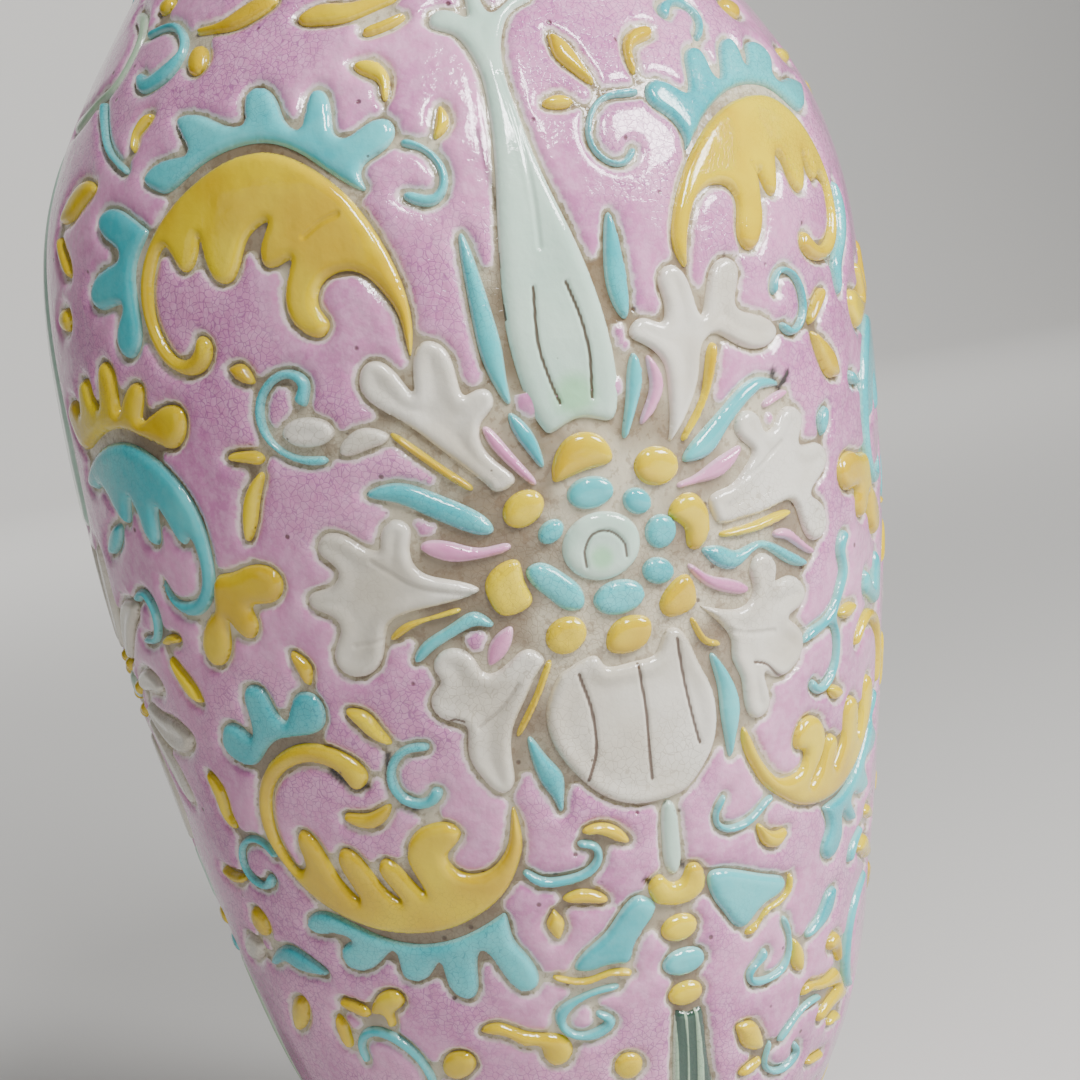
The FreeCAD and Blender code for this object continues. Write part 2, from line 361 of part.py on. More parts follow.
SCATTER = {
    "tendrils": [
        stroke((-108, 90, 0.9), (-102, 92.3, 1.7), (-96, 92, 2.7), (-90, 90.5, 1.7), (-86.6, 89.6, 0.7)),
        stroke((-101.6, 285, 0.6), (-97, 285.3, 0.7), (-91, 285.2, 0.8), (-85.5, 283, 1.0),
               (-82.3, 279.5, 1.4), (-84, 276.7, 1.8), (-89, 274.7, 1.9), (-94, 274.3, 1.6),
               (-97.5, 275.8, 1.2)),
        stroke((-113.5, 272.6, 1.0), (-109, 269, 1.0), (-103, 263.5, 0.8), (-97, 259.7, 0.7),
               (-92.5, 257.4, 0.5)),
        stroke((-25.5, 252.3, 0.7), (-22.5, 251, 0.7), (-19.5, 247.5, 0.8), (-19.2, 243.5, 0.9),
               (-21.8, 240.9, 1.1), (-26.3, 242.3, 0.9)),
        stroke((24.6, 255.5, 0.6), (18, 255.4, 0.6), (13.5, 253, 0.6), (11.2, 248.5, 0.6),
               (12, 244.8, 0.6), (15, 242.5, 0.6), (18, 242.8, 0.7), (19.6, 244.4, 0.6)),
        stroke((43.5, 271.3, 1.3), (47.5, 273.2, 0.9), (52.2, 273.1, 0.9), (54.5, 270.3, 1.0),
               (52.5, 267.2, 0.8), (49.4, 265.4, 0.6)),
        stroke((48.3, 213.8, 0.9), (49.7, 216.4, 0.7), (53, 217.4, 0.7), (56.6, 215, 0.8),
               (57.7, 210.5, 0.8), (56, 206.8, 0.8), (52.4, 205.1, 0.8), (49.6, 206.4, 0.9)),
        stroke((-53, 208.6, 1.5), (-52.2, 211.3, 1.3), (-55, 213.4, 0.9), (-59.5, 212, 0.9),
               (-62.2, 208, 1.0), (-62.2, 203.5, 0.9), (-60, 199.8, 0.7), (-55, 196.9, 0.8),
               (-50.6, 196.3, 0.7)),
        stroke((-89.7, 116.5, 0.7), (-92, 118.9, 0.8), (-97, 119.5, 0.8), (-101.8, 117.3, 0.8),
               (-103.8, 113.3, 0.9), (-102, 110, 0.9), (-97.5, 108.9, 0.9), (-94.2, 110.6, 1.2)),
        stroke((-42.3, 138.2, 0.8), (-46.5, 138, 0.9), (-50.6, 135, 1.0), (-51.4, 130.8, 1.2),
               (-49, 127.5, 1.2), (-44.7, 126.7, 1.1), (-42, 128.5, 1.3)),
        stroke((-26.2, 109.3, 0.8), (-23.3, 107.1, 1.1), (-17.5, 106.4, 1.0), (-12.7, 107.1, 1.0),
               (-9.6, 109.5, 1.0), (-10, 112.3, 0.9), (-13.1, 113.5, 0.7)),
        stroke((-9, 81.6, 0.5), (-14, 81.4, 0.7), (-20, 80, 0.9), (-24.2, 77.3, 1.5), (-23.6, 74, 1.1),
               (-20, 72.1, 0.9), (-15, 72.3, 1.2), (-12, 74.3, 1.5), (-14.6, 76.3, 0.8)),
        stroke((22.1, 115.8, 0.6), (20, 113, 0.7), (20.9, 110, 0.7), (25, 108.7, 0.8),
               (30.5, 109.7, 0.8), (34, 111.7, 0.8), (36.2, 112.6, 0.5)),
        stroke((33.4, 78.9, 1.2), (31, 77.5, 0.8), (28.7, 76, 1.0), (29.3, 74, 0.9), (34, 73, 0.8),
               (40, 73.8, 0.9), (42.9, 77, 0.7), (42.6, 81.5, 0.7), (40.8, 84.8, 0.7)),
        stroke((41, 57.4, 0.6), (46, 60.2, 0.7), (52.6, 62.3, 0.7), (59, 62.2, 0.5)),
        stroke((36.8, 57.5, 0.6), (35.5, 54, 0.8), (38, 51, 0.8), (43, 49.5, 0.8), (48.3, 50.2, 1.0),
               (50.6, 52, 1.2), (49, 53.8, 0.8)),
        outline((47.6, 142.2), (50.5, 142.4), (54, 143.1), (58, 143.8), (60, 142), (60.4, 138.4),
                (59.4, 135.4), (56.8, 133), (53.4, 132.3), (51.6, 133.8), (50.1, 133), (52.6, 130.6),
                (57.4, 131), (61.2, 134.4), (62.4, 138.6), (62, 142.4), (60.8, 145), (62.6, 148),
                (65.2, 151), (66.6, 154.6), (65.8, 158.6), (67.6, 160.8), (66.6, 162.2), (63.6, 161),
                (62.8, 158), (63.8, 154.6), (62.2, 151.4), (59.4, 147.8), (54, 145.4), (49.4, 144.4)),
        stroke((59.3, 184, 1.0), (60, 186.1, 1.8), (61.2, 187.8, 1.1)),
        stroke((76.5, 193, 1.4), (79.2, 192, 0.9), (81.4, 191.5, 0.5)),
        stroke((73.5, 90.3, 1.6), (77, 92.8, 1.2), (81.5, 94.4, 0.6)),
        stroke((50.8, 78.6, 0.8), (56, 80, 1.7), (60.5, 83, 2.6), (62.8, 84.8, 1.6)),
        stroke((-83.2, 69.4, 1.0), (-82.8, 73, 1.2), (-78, 76, 1.1), (-72, 75.5, 1.2),
               (-66.7, 72.2, 1.2), (-64, 68, 1.2), (-63.2, 64.5, 1.0)),
    ],
    "buds": [
        oval(-98, 290.2, 3.6, 1.7),
        stroke((-91.3, 261.6, 0.7), (-91.6, 264, 1.0), (-89.3, 266.4, 1.3), (-87.5, 267.1, 0.7)),
        oval(-75.7, 276.2, 3.5, 2.8, -25),
        stroke((-78.5, 282.3, 0.5), (-72.5, 282, 0.9), (-66, 282.6, 1.9), (-60, 284, 2.1), (-55, 284.8, 1)),
        stroke((-46.8, 279.7, 1.0), (-42, 279.9, 2.1), (-35, 279.4, 1.9), (-28, 280.2, 1.4),
               (-23, 280.8, 0.7)),
        stroke((-31, 274.6, 0.7), (-26, 275.4, 1.0), (-21.8, 276.5, 0.6)),
        stroke((-33.4, 268.2, 0.9), (-30, 267.1, 1.7), (-27.9, 264.5, 1.3), (-28.1, 261.3, 0.6)),
        stroke((-17.2, 257.2, 0.9), (-17.4, 254.8, 1.4), (-19, 252.6, 0.7)),
        stroke((-66.8, 215.9, 0.8), (-65, 215.1, 1.7), (-63, 213.3, 0.9)),
        stroke((-71, 199.3, 0.7), (-67.6, 199, 1.2), (-64.4, 198.4, 1.2)),
        stroke((-64.8, 195, 0.8), (-67.3, 192, 1.6), (-69.5, 187, 1.7), (-70.8, 183.4, 0.8)),
        stroke((-66.6, 159.3, 0.9), (-65.1, 156.5, 1.7), (-64.9, 153.8, 0.9)),
        stroke((-57.1, 146.8, 0.9), (-54.5, 145, 1.9), (-52.2, 142, 1.6), (-50, 140, 0.7)),
        stroke((-64.2, 124.9, 1.0), (-60, 123.9, 1.6), (-55.8, 125, 1.4), (-53.6, 126.6, 0.6)),
        oval(-87.7, 75.6, 2.2, 4, 0),
        stroke((-84, 82.8, 0.9), (-80.4, 81.9, 1.4), (-77, 80.8, 1.2)),
        outline((-75, 81), (-73.4, 83.6), (-69.5, 85.8), (-65.5, 86), (-64, 84), (-66, 82), (-68.4, 80.6),
                (-69, 78), (-71, 77.8), (-71.6, 80.2)),
        oval(-54, 68.5, 5.1, 3.1, 15),
        outline((-45.3, 76.2), (-43.4, 77.3), (-39.5, 77.4), (-34.4, 75.2), (-29, 74), (-24.6, 72.9),
                (-22.6, 70), (-24.4, 67), (-28, 66.4), (-30.4, 68.4), (-31, 71), (-35, 71.8),
                (-39.8, 74.4)),
        stroke((-21.4, 99.6, 1.0), (-21.6, 97.8, 2.1), (-21.5, 95.7, 1.5)),
        stroke((-18.2, 102.6, 0.8), (-14, 102.4, 1.5), (-9.4, 101, 0.8)),
        stroke((-11.6, 115.9, 0.7), (-8.6, 115.9, 1.2), (-5, 114.2, 1.4), (-2.6, 112.3, 0.7)),
        oval(-8.5, 63.2, 3.9, 3.0),
        stroke((32.2, 107.2, 0.7), (34.5, 104.4, 1.6), (38.5, 103.1, 1.6), (40.8, 104.1, 0.7)),
        stroke((25.2, 64.3, 1.2), (28.5, 62, 3.0), (32.6, 58.9, 1.6)),
        stroke((26.4, 53.3, 0.7), (30, 53.9, 1.2), (33, 54.8, 0.7)),
        stroke((58.4, 130.2, 0.8), (61, 129.1, 1.5), (63.3, 128.6, 0.8)),
        stroke((59.4, 206.4, 0.8), (62.5, 209, 1.5), (66.2, 211.6, 1.0)),
        stroke((60, 203.6, 0.8), (62.6, 200.5, 2.4), (66, 196.7, 3.0), (68.3, 195, 1.4)),
        stroke((63.6, 145.2, 0.8), (66.6, 145.2, 1.6), (70.6, 145.6, 0.7)),
        stroke((4.2, 255.5, 0.9), (7, 255.5, 1.4), (9.2, 255.2, 0.8)),
        stroke((10.5, 268.1, 1.1), (11.5, 265.3, 2.3), (13.5, 261.6, 1.6), (15.3, 258.7, 0.7)),
        stroke((26.2, 259.6, 0.6), (26.9, 263, 1.0), (29.8, 266.2, 1.4), (35.2, 267.4, 1.2)),
        oval(75, 272.3, 4.6, 2.2),
        stroke((45, 78.4, 1.0), (46, 76, 2.2), (47.4, 73, 1.9)),
        stroke((63, 73.2, 1.5), (66.5, 72.8, 2.0), (69, 69.9, 1.5), (70.3, 67.8, 0.8)),
        outline((49.6, 65.6), (52, 67.1), (56, 66.6), (60, 65.9), (64, 66), (69, 66), (73, 63.4),
                (77, 60.4), (80, 58.4), (78.4, 56.7), (72, 56.9), (66, 56.5), (61, 55.8), (60, 57.6),
                (64, 59.4), (69, 60.4), (71.4, 61.2), (68, 62.2), (62, 63.2), (57.4, 64), (53, 64.9)),
        stroke((68.8, 53.2, 0.6), (73, 53.4, 1.2), (78, 52.4, 1.0)),
        stroke((59, 46.9, 0.6), (64, 46.4, 0.9), (69.4, 46.1, 0.7)),
        stroke((81, 90, 0.9), (86, 89.6, 2.3), (91, 87.6, 2.3), (96, 85.6, 1.3)),
        stroke((85, 97.3, 1.0), (89, 96.5, 1.6), (93.4, 94.6, 0.9)),
        stroke((87, 262, 0.9), (92, 262, 1.8), (97, 262.3, 0.9)),
    ],
}

QUARTER = size("drawing_radius") * math.pi / 2
SIDE_LEAVES = [
    stroke((33, 141.5, 1.8), (28, 141.5, 3.8), (21, 142.5, 3.6), (13.4, 146, 2.0)),
    stroke((26.6, 152.6, 1.4), (21, 153.6, 2.4), (13.6, 152.4, 1.6)),
    stroke((26, 170, 1.5), (20.5, 168.6, 2.9), (14, 163.4, 2.8), (9.8, 158.8, 1.6)),
    stroke((10.6, 182, 1.6), (8.6, 175, 2.7), (6, 167, 2.5), (4.2, 160.6, 1.2)),
    stroke((21, 127, 1.6), (17.6, 132, 2.8), (12.8, 138.6, 2.5), (9, 143, 1.2)),
    stroke((29, 93, 1.4), (25, 92.4, 2.9), (19.6, 90.6, 2.4)),
]
SIDE_FLOWER = {
    "side_leaves": SIDE_LEAVES + mirrored(SIDE_LEAVES),
    "side_seed_pod": [oval(0, 150.6, 3.4, 3.2)],
    "side_petals": [
        oval(7.0 * math.cos(t), 150.6 + 6.6 * math.sin(t), 1.9, 1.7)
        for t in [2 * math.pi * k / 7 for k in range(7)]
    ],
    "side_calyx": [
        outline((-5, 137), (0, 139.6), (5, 137), (8.2, 129), (6.5, 119), (0, 113.6), (-6.5, 119),
                (-8.2, 129)),
    ],
    "side_gourd_leaf": [
        outline((-5.5, 188), (-7, 198), (-7.4, 210), (-6, 224), (-4, 238), (-2.4, 252), (-1.8, 262),
                (0, 268), (1.8, 262), (2.4, 252), (4, 238), (6, 224), (7.4, 210), (7, 198), (5.5, 188),
                (0, 186.6)),
    ],
    "side_stem": [stroke((0, 111.4, 1.2), (0, 106, 1.5), (0, 100.6, 1.2))],
    "side_beads": [oval(0, 95.4, 4, 2.5)],
    "side_middle_bead": [oval(0, 88.8, 4.6, 2.5)],
    "side_tassel": [
        outline((-3.4, 84.6), (-5.6, 62), (-5, 50), (0, 48.6), (5, 50), (5.6, 62), (3.4, 84.6), (0, 85)),
    ],
}


def ring_of_lappets(count, phase, *middle):
    """One lappet repeated round half the vase, count to the whole ring."""
    step = 4 * QUARTER / count
    return [stroke(*[(u + (k + phase) * step, z, w) for u, z, w in middle]) for k in range(count // 2)]


BANDS = {
    "collar_lappets": ring_of_lappets(24, 0.0, (0, 311, 4.0), (0, 304, 5.6), (0, 297, 2.6)),
    "collar_drops": ring_of_lappets(24, 0.5, (0, 309.5, 1.6), (0, 303, 2.6), (0, 298.6, 1.6)),
    "neck_leaves": ring_of_lappets(12, 0.0, (0, 325, 8.4), (0, 330, 9.4), (0, 339, 6), (0, 347, 1.2)),
    "neck_buds": ring_of_lappets(12, 0.5, (0, 348, 5), (0, 341, 7), (0, 334, 2)),
    "foot_lappets": ring_of_lappets(20, 0.0, (0, 13, 9), (0, 22, 8), (0, 30, 4.5), (0, 35.5, 1)),
    "foot_buds": ring_of_lappets(20, 0.5, (0, 26, 1.5), (0, 32, 2.8), (0, 37.5, 1.2)),
}


# ---------------------------------------------------------------- the wall of the vase

def stations():
    """(radius, level) of the outside, from the foot up to just under the lip's round."""
    names = ["shin", "calf", "flank", "belly", "shoulder", "slope", "collar", "neck"]
    lip_level = size("total_height") - size("wall") / 2
    return ([(size("ankle_radius"), size("foot_height")), (size("ankle_radius"), size("ankle_level"))]
            + [(size(name + "_radius"), size(name + "_level")) for name in names]
            + [(size("lip_radius"), lip_level)])


def profile_curve(offset):
    """The outside's profile in the XZ plane, moved outwards by offset."""
    curve = Part.BSplineCurve()
    curve.interpolate([Vector(radius + offset, 0, level) for radius, level in stations()])
    return curve


def parameter_at(curve, level):
    """Where the curve, which climbs all the way, reaches a level."""
    low, high = curve.FirstParameter, curve.LastParameter
    for _ in range(60):
        middle = (low + high) / 2
        if curve.value(middle).z < level:
            low = middle
        else:
            high = middle
    return (low + high) / 2


def curve_span(curve, low_level, high_level):
    """The curve between two levels, as an edge, with its lower and upper end points."""
    first, last = parameter_at(curve, low_level), parameter_at(curve, high_level)
    return curve.toShape(first, last), curve.value(first), curve.value(last)


def turned(edges, start_angle=0.0, angle=360.0):
    """The solid that a closed profile sweeps about the vase's axis."""
    face = Part.Face(Part.Wire(Part.__sortEdges__(edges)))
    face.rotate(Vector(0, 0, 0), Vector(0, 0, 1), start_angle)
    return face.revolve(Vector(0, 0, 0), Vector(0, 0, 1), angle)


OUTSIDE = profile_curve(0.0)
INSIDE = profile_curve(-size("wall"))


def wall_section(low_level, high_level):
    """A ring of wall between two joints."""
    outer, outer_low, outer_high = curve_span(OUTSIDE, low_level, high_level)
    inner, inner_low, inner_high = curve_span(INSIDE, low_level, high_level)
    return turned([outer, Part.makeLine(outer_high, inner_high), inner,
                   Part.makeLine(inner_low, outer_low)])


def lower_section():
    """The lowest section: the floor and the wall up to the first joint."""
    floor_top = size("foot_height") + size("floor_thickness")
    outer, outer_low, outer_high = curve_span(OUTSIDE, size("foot_height"), size("lower_joint_level"))
    inner, inner_low, inner_high = curve_span(INSIDE, floor_top, size("lower_joint_level"))
    under, middle = Vector(0, 0, size("foot_height")), Vector(0, 0, floor_top)
    return turned([outer, Part.makeLine(outer_high, inner_high), inner,
                   Part.makeLine(inner_low, middle), Part.makeLine(middle, under),
                   Part.makeLine(under, outer_low)])


def neck_section():
    """The neck, with its lip rounded over from the outside to the inside."""
    lip_level = size("total_height") - size("wall") / 2
    outer, outer_low, outer_high = curve_span(OUTSIDE, size("neck_joint_level"), lip_level)
    inner, inner_low, inner_high = curve_span(INSIDE, size("neck_joint_level"), lip_level)
    crest = Vector((outer_high.x + inner_high.x) / 2, 0, size("total_height"))
    lip = Part.Arc(outer_high, crest, inner_high).toShape()
    return turned([outer, lip, inner, Part.makeLine(inner_low, outer_low)])


def shaped_part(name, shape):
    """A sub-part whose shape comes straight from Part's functions."""
    part = doc.addObject("Part::Feature", name)
    part.Label = name
    part.Shape = shape
    part.Placement = FreeCAD.Placement()
    return part


def foot_ring():
    """The turned foot ring, a sketch of its section revolved about the axis."""
    body = doc.addObject("PartDesign::Body", "foot_ring")
    body.Label = "foot_ring"
    sketch = body.newObject("Sketcher::SketchObject", "foot_ring_section")
    plane = [f for f in body.Origin.OriginFeatures if f.Role == "XZ_Plane"][0]
    sketch.AttachmentSupport = (plane, [""])
    sketch.MapMode = "FlatFace"
    outer, height = size("foot_radius"), size("foot_height")
    inner = outer - size("foot_width")
    corners = [Vector(inner, 0, 0), Vector(outer, 0, 0), Vector(outer, height, 0), Vector(inner, height, 0)]
    for i in range(4):
        sketch.addGeometry(Part.LineSegment(corners[i], corners[(i + 1) % 4]), False)
    for i in range(4):
        sketch.addConstraint(Sketcher.Constraint("Coincident", i, 2, (i + 1) % 4, 1))
    for i, kind in enumerate(["Horizontal", "Vertical", "Horizontal", "Vertical"]):
        sketch.addConstraint(Sketcher.Constraint(kind, i))
    measures = [
        (Sketcher.Constraint("DistanceX", -1, 1, 0, 2, outer), "sizes.foot_radius"),
        (Sketcher.Constraint("DistanceX", 0, 1, 0, 2, outer - inner), "sizes.foot_width"),
        (Sketcher.Constraint("DistanceY", 1, 1, 1, 2, height), "sizes.foot_height"),
    ]
    for constraint, cell in measures:
        index = sketch.addConstraint(constraint)
        sketch.setExpression(f"Constraints[{index}]", cell)
    sketch.addConstraint(Sketcher.Constraint("PointOnObject", 0, 1, -1))
    turn = body.newObject("PartDesign::Revolution", "foot_ring_turned")
    turn.Profile = sketch
    turn.ReferenceAxis = (sketch, ["V_Axis"])
    turn.Angle = 360
    doc.recompute()
    round_over = body.newObject("PartDesign::Fillet", "foot_ring_rounded")
    bottom = [f"Edge{i + 1}" for i, edge in enumerate(turn.Shape.Edges)
              if abs(edge.BoundBox.ZMax) < 1e-6 and len(edge.Vertexes) < 2]
    round_over.Base = (turn, bottom)
    round_over.setExpression("Radius", "sizes.foot_round")
    return body


# ---------------------------------------------------------------- the relief

RELIEF_REACH = 75.0     # how far the strip of relief goes round to each side of a pad, degrees
PRISM_START = 1.0       # a pad's prism starts this far from the axis, mm
EDGE_POINTS = 4         # drawn points to each edge of a pad's outline
STRIP_MARGINS = [3, 6, 10]      # how far the strip goes past a pad, until the pad cuts cleanly, mm
RAISED = profile_curve(size("relief"))


def relief_strip(low, high):
    """A thin skin on the outside of the wall between two levels, facing the front."""
    back, back_low, back_high = curve_span(OUTSIDE, low, high)
    face, face_low, face_high = curve_span(RAISED, low, high)
    return turned([back, Part.makeLine(back_high, face_high), face, Part.makeLine(face_low, back_low)],
                  -90 - RELIEF_REACH, 2 * RELIEF_REACH)


def smooth_loop(points):
    """A smooth closed wire through the points, in short edges of a few points each."""
    steps = [0.0]
    for here, there in zip(points, points[1:] + points[:1]):
        steps.append(steps[-1] + math.sqrt((there - here).Length))
    curve = Part.BSplineCurve()
    curve.interpolate(Points=points, PeriodicFlag=True, Parameters=steps)
    cuts = steps[:-1:EDGE_POINTS]
    if len(points) - EDGE_POINTS * (len(cuts) - 1) < 2 and len(cuts) > 2:
        cuts.pop()
    return Part.Wire([curve.toShape(a, b) for a, b in zip(cuts, cuts[1:] + steps[-1:])])


def cut_from_skin(drawing, levels):
    """The one solid that a flat drawing's prism shares with the relief skin at its levels. It has
    about the volume of the drawing and the relief, or the skin's strip is made longer."""
    prism = drawing.extrude(Vector(0, -size("belly_radius") - 4 * size("relief"), 0))
    for margin in STRIP_MARGINS:
        strip = relief_strip(min(levels) - margin, max(levels) + margin)
        solids = prism.common(strip).Solids
        if len(solids) == 1 and 0.9 < solids[0].Volume / (drawing.Area * size("relief")) < 1.6:
            return solids[0]
    return None


def pad(shape, shift=0.0):
    """One relief pad: the shape drawn flat, wrapped on the vase and cut from the thin skin."""
    turns = [(u + shift) / size("drawing_radius") for u, _ in shape]
    middle = (max(turns) + min(turns)) / 2
    scale = size("total_height") / size("drawing_height")
    levels = [z * scale for _, z in shape]
    edge = []
    for turn, level in zip(turns, levels):
        radius = RAISED.value(parameter_at(RAISED, level)).x
        edge.append(Vector(radius * math.sin(turn - middle), -PRISM_START, level))
    solid = cut_from_skin(Part.Face(smooth_loop(edge)), levels)
    if solid is None:
        raise RuntimeError(f"the pad that starts at {shape[0]} can't be cut")
    solid.rotate(Vector(0, 0, 0), Vector(0, 0, 1), math.degrees(middle))
    return solid


def relief_part(name, shapes, shift=0.0):
    """A node of relief pads, made once and carried to the back of the vase as well."""
    front = [pad(shape, shift) for shape in shapes]
    back = [solid.copy() for solid in front]
    for solid in back:
        solid.rotate(Vector(0, 0, 0), Vector(0, 0, 1), 180)
    return shaped_part(name, Part.makeCompound(front + back))


# ---------------------------------------------------------------- the pieces

parts = [
    foot_ring(),
    shaped_part("lower_body", lower_section()),
    shaped_part("upper_body", wall_section(size("lower_joint_level"), size("neck_joint_level"))),
    shaped_part("neck", neck_section()),
]
for drawings in (LOTUS, SCROLLS, SCATTER, BANDS):
    for name, shapes in drawings.items():
        parts.append(relief_part(name, shapes))
for name, shapes in SIDE_SCROLL.items():
    parts.append(relief_part(name, shapes + mirrored(shapes)))
for name, shapes in SIDE_FLOWER.items():
    parts.append(relief_part(name, shapes, QUARTER))

doc.recompute()
for item in doc.Objects:
    if "Invalid" in item.State or "Error" in item.State:
        raise RuntimeError(f"{item.Label} failed: {item.State}")
for part in parts:
    if part.Shape.isNull() or not part.Shape.isValid():
        raise RuntimeError(f"{part.Label} has no valid shape")

os.makedirs("parts", exist_ok=True)
for part in parts:
    part.Shape.exportStep(f"parts/{part.Label}.step")
    print(part.Label, len(part.Shape.Solids), "solids", round(part.Shape.Volume / 1000, 2), "cm3")
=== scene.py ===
import json
import math

import bpy
import numpy as np
from mathutils import Matrix, Vector


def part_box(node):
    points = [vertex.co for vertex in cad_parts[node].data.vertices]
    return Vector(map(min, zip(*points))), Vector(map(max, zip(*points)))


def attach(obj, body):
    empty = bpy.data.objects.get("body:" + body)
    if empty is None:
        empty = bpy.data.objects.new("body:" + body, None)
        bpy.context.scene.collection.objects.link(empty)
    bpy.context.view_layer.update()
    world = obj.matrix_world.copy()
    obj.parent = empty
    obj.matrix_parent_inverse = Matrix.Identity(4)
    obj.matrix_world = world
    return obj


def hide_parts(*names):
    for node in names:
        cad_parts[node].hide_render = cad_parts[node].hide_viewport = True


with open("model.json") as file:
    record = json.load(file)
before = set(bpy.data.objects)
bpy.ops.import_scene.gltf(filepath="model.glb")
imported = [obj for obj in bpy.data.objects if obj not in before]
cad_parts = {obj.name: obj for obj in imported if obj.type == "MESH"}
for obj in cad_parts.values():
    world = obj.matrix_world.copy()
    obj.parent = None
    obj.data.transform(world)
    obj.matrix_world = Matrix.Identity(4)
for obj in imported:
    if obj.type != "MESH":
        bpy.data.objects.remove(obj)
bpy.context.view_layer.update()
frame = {"nodes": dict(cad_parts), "record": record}

# The vase is described by azimuth, 0 at the front (-Y) and growing towards +X, by the length
# along its profile from the foot, and by the height of the glaze over the wall. Lengths in the
# functions are mm, and a mesh is scaled to metres when it is made.

MM = 0.001
GROUND_CELL = 0.72        # grid step of the pink ground
PAD_CELL = 0.42           # grid step of the relief pads
FINE_CELL = 0.3           # grid step of the narrow ones
CHANNEL_FLOOR = -0.45     # the thin glaze in the channels lies this far under the wall's face
CHANNEL_WIDTH = 0.75      # bare channel round each pad
GROUND_RISE = 1.15        # how far the puffed ground stands over the channels
GROUND_ROUND = 2.8        # width of the ground's rounded edge
FIELD_REACH = 4.5         # distances from the pads are worked out this far
BRUSH = 1.15              # the ground only reaches places this much wider than the channel
PAD_FOOT = -0.25          # a pad's outline lies at this height, and its skirt ends at the next
SKIRT_FOOT = -0.75
CUT_DEPTH = 0.3           # depth of the lines cut into the pads
NARROW = 9.0              # a pad narrower than this gets the fine grid
LINE_REACH = 0.8          # a cut line further round than this, in radians, can't touch a pad
FOOT_ROUND = 1.5          # radius of the foot ring's rounded edges
DRAWING_RADIUS = 90.0     # one unit of azimuth, in mm of the flat drawing

PAD_HEIGHT = {            # (top over the wall's face, width of the rounded edge, dish) for each finish
    "yellow_glaze": (1.25, 2.6, 0.0), "turquoise_glaze": (1.15, 2.3, 0.0),
    "cream_glaze": (1.0, 1.7, 0.5), "celadon_glaze": (1.0, 2.6, 0.3),
    "dark_green_glaze": (0.8, 1.8, 0.0), "rose_glaze": (1.0, 1.8, 0.0),
}
WALLS = ("foot_ring", "lower_body", "upper_body", "neck")
SLOT_OF = {part["node"]: part["material_slot"] for part in frame["record"]["subparts"]}


# ---------------------------------------------------------------- reading the frame

def node_triangles(name):
    """A node's merged corners in mm, its triangles and their unit normals."""
    mesh = frame["nodes"][name].data
    points = np.empty(len(mesh.vertices) * 3)
    mesh.vertices.foreach_get("co", points)
    mesh.calc_loop_triangles()
    corners = np.empty(len(mesh.loop_triangles) * 3, int)
    mesh.loop_triangles.foreach_get("vertices", corners)
    points = points.reshape(-1, 3) / MM
    _, first, merged = np.unique(np.round(points, 3), axis=0, return_index=True, return_inverse=True)
    triangles = merged.reshape(-1)[corners].reshape(-1, 3)
    points = points[first]
    a, b, c = points[triangles[:, 0]], points[triangles[:, 1]], points[triangles[:, 2]]
    normals = np.cross(b - a, c - a)
    length = np.linalg.norm(normals, axis=1)
    good = length > 1e-9
    return points, triangles[good], normals[good] / length[good, None]


def outward_share(points, triangles, normals):
    """How far each triangle faces away from the vase's axis, 1 for straight out."""
    middle = points[triangles].mean(axis=1)[:, :2]
    middle /= np.maximum(np.linalg.norm(middle, axis=1), 1e-6)[:, None]
    return (normals[:, :2] * middle).sum(axis=1)


def cubic_through(x, y):
    """The natural cubic spline through (x, y), as a function of arrays."""
    n = len(x)
    h = np.diff(x)
    matrix = np.eye(n)
    right = np.zeros(n)
    rows = np.arange(1, n - 1)
    matrix[rows, rows - 1] = h[:-1]
    matrix[rows, rows] = 2 * (h[:-1] + h[1:])
    matrix[rows, rows + 1] = h[1:]
    right[rows] = 6 * (np.diff(y)[1:] / h[1:] - np.diff(y)[:-1] / h[:-1])
    bend = np.linalg.solve(matrix, right)

    def value(t):
        i = np.clip(np.searchsorted(x, t) - 1, 0, n - 2)
        a, b = (x[i + 1] - t) / h[i], (t - x[i]) / h[i]
        return (a * y[i] + b * y[i + 1]
                + ((a ** 3 - a) * bend[i] + (b ** 3 - b) * bend[i + 1]) * h[i] ** 2 / 6)
    return value


def wall_profile(names, sign, spacing):
    """Radius against level on the outer (sign 1) or inner (sign -1) face of the named walls."""
    radii, levels = [], []
    for name in names:
        points, triangles, normals = node_triangles(name)
        share = sign * outward_share(points, triangles, normals)
        rim = points[np.unique(triangles[share > 0.35])]
        radii.append(np.hypot(rim[:, 0], rim[:, 1]))
        levels.append(rim[:, 2])
    radii, levels = np.concatenate(radii), np.concatenate(levels)
    order = np.argsort(levels)
    radii, levels = radii[order], levels[order]
    keep = [0]
    for i in range(1, len(levels)):
        if levels[i] - levels[keep[-1]] > spacing:
            keep.append(i)
    keep[-1] = len(levels) - 1
    return cubic_through(levels[keep], radii[keep]), levels[0], levels[-1]


